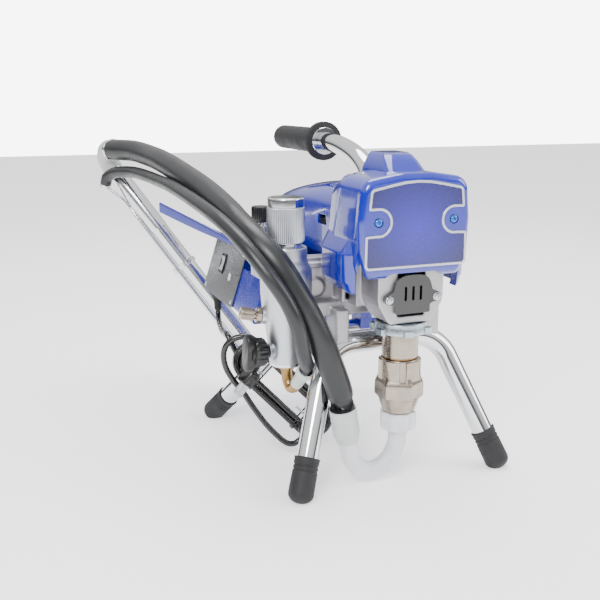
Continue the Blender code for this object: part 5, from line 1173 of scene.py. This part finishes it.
# ==================================================================== power cord
# PVC mains cord of 7.4 mm from a gland under the box, folded into a hank of five turns
# held by two wire ties, and a tail that loops back up to the plug.
HANK_TOP = Vector((-0.1429, 0.1750, 0.1312))
HANK_FOOT = Vector((-0.0416, 0.1320, 0.0224))
HANK_FACE = Vector((-0.1984, -0.9605, 0.1949))
HANK_HALF_WIDTH, HANK_HALF_THICK = 0.0262, 0.0115
CORD_ROUTE = [
    (-0.1270, 0.3180, 0.1440), (-0.1270, 0.3178, 0.1405), (-0.1290, 0.3100, 0.1335),
    (-0.1325, 0.2920, 0.1300), (-0.1385, 0.2620, 0.1300), (-0.1430, 0.2320, 0.1330),
    (-0.1475, 0.2050, 0.1380), (-0.1508, 0.1880, 0.1405)]
TAIL_ROUTE = [
    (-0.0785, 0.1200, 0.0270), (-0.0830, 0.1200, 0.0195),
    (-0.0910, 0.1205, 0.0160), (-0.1000, 0.1225, 0.0185), (-0.1110, 0.1270, 0.0290),
    (-0.1225, 0.1340, 0.0430), (-0.1340, 0.1425, 0.0610), (-0.1440, 0.1510, 0.0790),
    (-0.1560, 0.1560, 0.0960), (-0.1650, 0.1575, 0.1150), (-0.1665, 0.1560, 0.1340),
    (-0.1590, 0.1510, 0.1480), (-0.1440, 0.1465, 0.1525), (-0.1310, 0.1425, 0.1475),
    (-0.1230, 0.1395, 0.1365), (-0.1225, 0.1385, 0.1268), (-0.1286, 0.1382, 0.1190)]
PLUG_AXIS = Vector((-0.617, -0.030, -0.786)).normalized()

# PVC cord sheath: black, glossy from the extruder, with a faint 5 mm unevenness.
cord_pvc, *parts = new_finish("glossy_pvc_sheath", "#0d0d0f", 0.0, 0.24, Coat_Weight=0.3,
                              Coat_Roughness=0.1)
skin(*parts, 5, 0.03, rough=(0.18, 0.32), tint=("#0a0a0b", "#141416"))

along = (HANK_FOOT - HANK_TOP).normalized()
face = (HANK_FACE - along * HANK_FACE.dot(along)).normalized()
across = face.cross(along)
middle = (HANK_TOP + HANK_FOOT) / 2
straight = (HANK_FOOT - HANK_TOP).length / 2 - HANK_HALF_WIDTH
OUTER_R = HANK_HALF_WIDTH - CORD_R
RING_STEP = 2 * CORD_R + 0.0002
LAYER_STEP = HANK_HALF_THICK - CORD_R
TRACKS = [(OUTER_R, -1), (OUTER_R - RING_STEP, -1), (OUTER_R - RING_STEP, 0), (OUTER_R, 0),
          (OUTER_R, 1), (OUTER_R - RING_STEP, 1)]


def on_hank(radius, layer, share):
    """Point of a turn: a loop of two straight runs and two round ends, from the top end."""
    bend_length, mean = math.pi * (OUTER_R - RING_STEP / 2), 2 * straight
    place = (share % 1.0) * (2 * bend_length + 2 * mean)
    offset = middle + face * layer * LAYER_STEP
    if place < bend_length / 2:
        a = place / bend_length * math.pi
        return offset - along * (straight + radius * math.cos(a)) - across * radius * math.sin(a)
    place -= bend_length / 2
    if place < mean:
        return offset + along * (place - straight) - across * radius
    place -= mean
    if place < bend_length:
        a = place / bend_length * math.pi
        return offset + along * (straight + radius * math.sin(a)) - across * radius * math.cos(a)
    place -= bend_length
    if place < mean:
        return offset + along * (straight - place) + across * radius
    a = (place - mean) / bend_length * math.pi
    return offset - along * (straight + radius * math.sin(a)) + across * radius * math.cos(a)


def hank_turns(first, last, per_turn=88):
    """The cord's line round the hank, changing track over an eighth of each turn."""
    line = []
    for i in range(round(first * per_turn), round(last * per_turn) + 1):
        turns = i / per_turn
        lap = int(turns)
        change = 0.80 - 0.06 * lap
        t = max(0.0, min(1.0, (turns - lap - change) / 0.12))
        t = t * t * (3 - 2 * t)
        a, b = TRACKS[min(lap, 5)], TRACKS[min(lap + 1, 5)]
        line.append(on_hank(a[0] + (b[0] - a[0]) * t, a[1] + (b[1] - a[1]) * t, turns))
    return line


hank_line = hank_turns(0.16, 5.37)
cord_route = [*smooth_path([*CORD_ROUTE, *hank_line[:2]], 0.004)[:-1], *hank_line[1:-1]]
cord_route += smooth_path([hank_line[-1], *TAIL_ROUTE], 0.004)
power_cord, cord_exit, cord_length = flexible(
    "power_cord_lead", cord_route, CORD_R, cord_pvc, ("power_cord", "cord_hank", "cord_tail"),
    0.0036)

relief = piece("cord_gland", turned(
    [(0, 0.0035), (0.0044, 0.0035), (0.0048, 0.0030), (0.0048, -0.0005), (0.0076, -0.0006),
     (0.0080, -0.0012), (0.0080, -0.0036), (0.0074, -0.0042)]
    + [(0.0064 - 0.00115 * i + (0.0004 if i % 2 else 0), -0.0048 - 0.0012 * i * 1.9) for i in range(2)]
    + [ring for i in range(6) for ring in ((0.0060 - 0.0002 * i, -0.0070 - 0.0027 * i),
       (0.0060 - 0.0002 * i, -0.0084 - 0.0027 * i), (0.0053 - 0.0002 * i, -0.0087 - 0.0027 * i),
       (0.0053 - 0.0002 * i, -0.0094 - 0.0027 * i))]
    + [(0.0046, -0.0235), (0, -0.0235)], 56), rubber, at(STRAIN_X, STRAIN_Y, BOX_LOW),
    replaces=("strain_relief",))

plug_place = at(*(Vector(TAIL_ROUTE[-1]) + PLUG_AXIS * 0.0003), PLUG_AXIS)
body = piece("plug_moulding", turned(
    [(0, 0.0), (0.0042, 0.0)] + [ring for i in range(3) for ring in
     ((0.0046 + 0.0002 * i, 0.0006 + 0.0030 * i), (0.0046 + 0.0002 * i, 0.0020 + 0.0030 * i),
      (0.0040 + 0.0002 * i, 0.0024 + 0.0030 * i), (0.0040 + 0.0002 * i, 0.0029 + 0.0030 * i))]
    + [(0.0060, 0.0100), (0.0085, 0.0112), (0, 0.0112)], 48), cord_pvc, plug_place,
    replaces=("plug",))
shell = []
for z, w, h in ((0.0098, 0.0095, 0.0055), (0.0104, 0.0110, 0.0066), (0.0120, 0.0122, 0.0074),
                (0.0145, 0.0125, 0.0075), (0.0265, 0.0125, 0.0075), (0.0285, 0.0122, 0.0073),
                (0.0298, 0.0114, 0.0066), (0.0300, 0.0100, 0.0054)):
    outline = filleted([(-w, -h, h * 0.5), (w, -h, h * 0.5), (w, h, h * 0.5), (-w, h, h * 0.5)], 6)
    shell.append([(x, y, z) for x, y in outline])
cut(body, loft(shell), plug_place, "UNION")
for side, x in (("left", -0.0064), ("right", 0.0064)):
    tip = [(y * k, z) for y, z, k in ((-0.0032, 0.0290, 1), (-0.0032, 0.0448, 1), (-0.0022, 0.0460, 1),
                                      (0.0022, 0.0460, 1), (0.0032, 0.0448, 1), (0.0032, 0.0290, 1))]
    piece("plug_blade_" + side, prism(tip, x - 0.0008, x + 0.0008, "X"), bright,
                        plug_place, edge=0.0002)

# Wire ties: black plastic over steel wire, twisted, with bare bright ends.
for name, share in (("upper", -0.62), ("lower", 0.80)):
    centre = middle + along * (straight * share)
    loop = [centre + across * x + face * z for x, z in filleted(
        [(-HANK_HALF_WIDTH - 0.0013, -HANK_HALF_THICK - 0.0013, 0.006),
         (HANK_HALF_WIDTH + 0.0013, -HANK_HALF_THICK - 0.0013, 0.006),
         (HANK_HALF_WIDTH + 0.0013, HANK_HALF_THICK + 0.0013, 0.006),
         (-HANK_HALF_WIDTH - 0.0013, HANK_HALF_THICK + 0.0013, 0.006)], 8)]
    piece("cord_tie_" + name, round_bar(loop, 0.0011, 16, ring=True, flat=1.0), grip_black)
    knot = centre + face * (HANK_HALF_THICK + 0.0016) - across * 0.004
    for k, sign in enumerate((-1, 1)):
        twist = [knot + across * 0.0010 * math.cos(0.9 * i + k * math.pi) - along * 0.0016 * i
                 + face * (0.0010 * math.sin(0.9 * i + k * math.pi) + 0.0002 * i) for i in range(9)]
        away = (across * sign * 0.6 - along * 0.8).normalized()
        wire = smooth_path([*twist, *(twist[-1] + away * 0.0016 * j for j in (1, 2, 3))], 0.0008)
        piece(f"cord_tie_{name}_end_{k + 1}", round_bar(wire, 0.00065, 10), bright)

# ==================================================================== studio
# White card under the machine, three soft lights, pale air around it, and the camera.
CAMERA_PLACE = base + Vector((-0.4386, -0.7858, 0.43))
CAMERA_YAW, CAMERA_DOWN, LENS = math.radians(21.5), math.radians(13.4), 50.46

# Matt white card, a little fibrous.
card, *parts = new_finish("matt_white_card", "#f4f4f4", 0.0, 0.85, Emission_Strength=0.7,
                          Emission_Color=(1, 1, 1, 1))
skin(*parts, 3, 0.02, tint=("#f2f2f2", "#f7f7f7"))
floor_mesh = bpy.data.meshes.new("floor_card")
shape = bmesh.new()
bmesh.ops.create_grid(shape, x_segments=2, y_segments=2, size=6.0)
shape.to_mesh(floor_mesh)
shape.free()
floor_mesh.materials.append(card)
floor = bpy.data.objects.new("floor_card", floor_mesh)
bpy.context.scene.collection.objects.link(floor)


def soft_light(name, place, size, power, target=(0, 0, 0.18)):
    lamp = bpy.data.lights.new(name, "AREA")
    lamp.shape, lamp.size, lamp.energy = "DISK", size, power
    obj = bpy.data.objects.new(name, lamp)
    obj.location = place
    obj.rotation_euler = (Vector(target) - Vector(place)).to_track_quat("-Z", "Y").to_euler()
    bpy.context.scene.collection.objects.link(obj)


soft_light("key_light", (-1.1, -1.4, 1.5), 0.9, 40)
soft_light("fill_light", (1.6, -0.9, 1.0), 1.2, 18)
soft_light("top_light", (0.1, 0.3, 1.9), 1.3, 34)

world = bpy.data.worlds.new("studio_air")
bpy.context.scene.world = world
world.use_nodes = True
tree = world.node_tree
back = tree.nodes["Background"]
rays = add_node(tree, "LightPath")
where = add_node(tree, "TexCoord").outputs["Generated"]
height = add_node(tree, "SeparateXYZ", {"Vector": where}).outputs["Z"]
bands = add_node(tree, "ValToRGB", {"Fac": height})
ramp = bands.color_ramp
ramp.elements[0].position, ramp.elements[0].color = 0.0, (0.10, 0.10, 0.11, 1)
ramp.elements[1].position, ramp.elements[1].color = 0.75, (1.0, 1.0, 1.0, 1)
for place, level in ((0.12, 0.16), (0.22, 0.75), (0.42, 0.95)):
    ramp.elements.new(place).color = (level, level, level, 1)
sky = add_node(tree, "Mix", {"Factor": rays.outputs["Is Camera Ray"], 6: bands.outputs["Color"],
                             7: (6.0, 6.0, 6.0, 1)}, data_type="RGBA")
tree.links.new(sky.outputs[2], back.inputs["Color"])
back.inputs["Strength"].default_value = 1.25

camera = bpy.data.objects.new("camera", bpy.data.cameras.new("camera"))
bpy.context.scene.collection.objects.link(camera)
camera.data.sensor_width, camera.data.lens = 36.0, LENS
camera.location = CAMERA_PLACE
gaze = Vector((math.sin(CAMERA_YAW) * math.cos(CAMERA_DOWN), math.cos(CAMERA_YAW) * math.cos(CAMERA_DOWN),
               -math.sin(CAMERA_DOWN)))
camera.rotation_euler = gaze.to_track_quat("-Z", "Y").to_euler()
bpy.context.scene.camera = camera
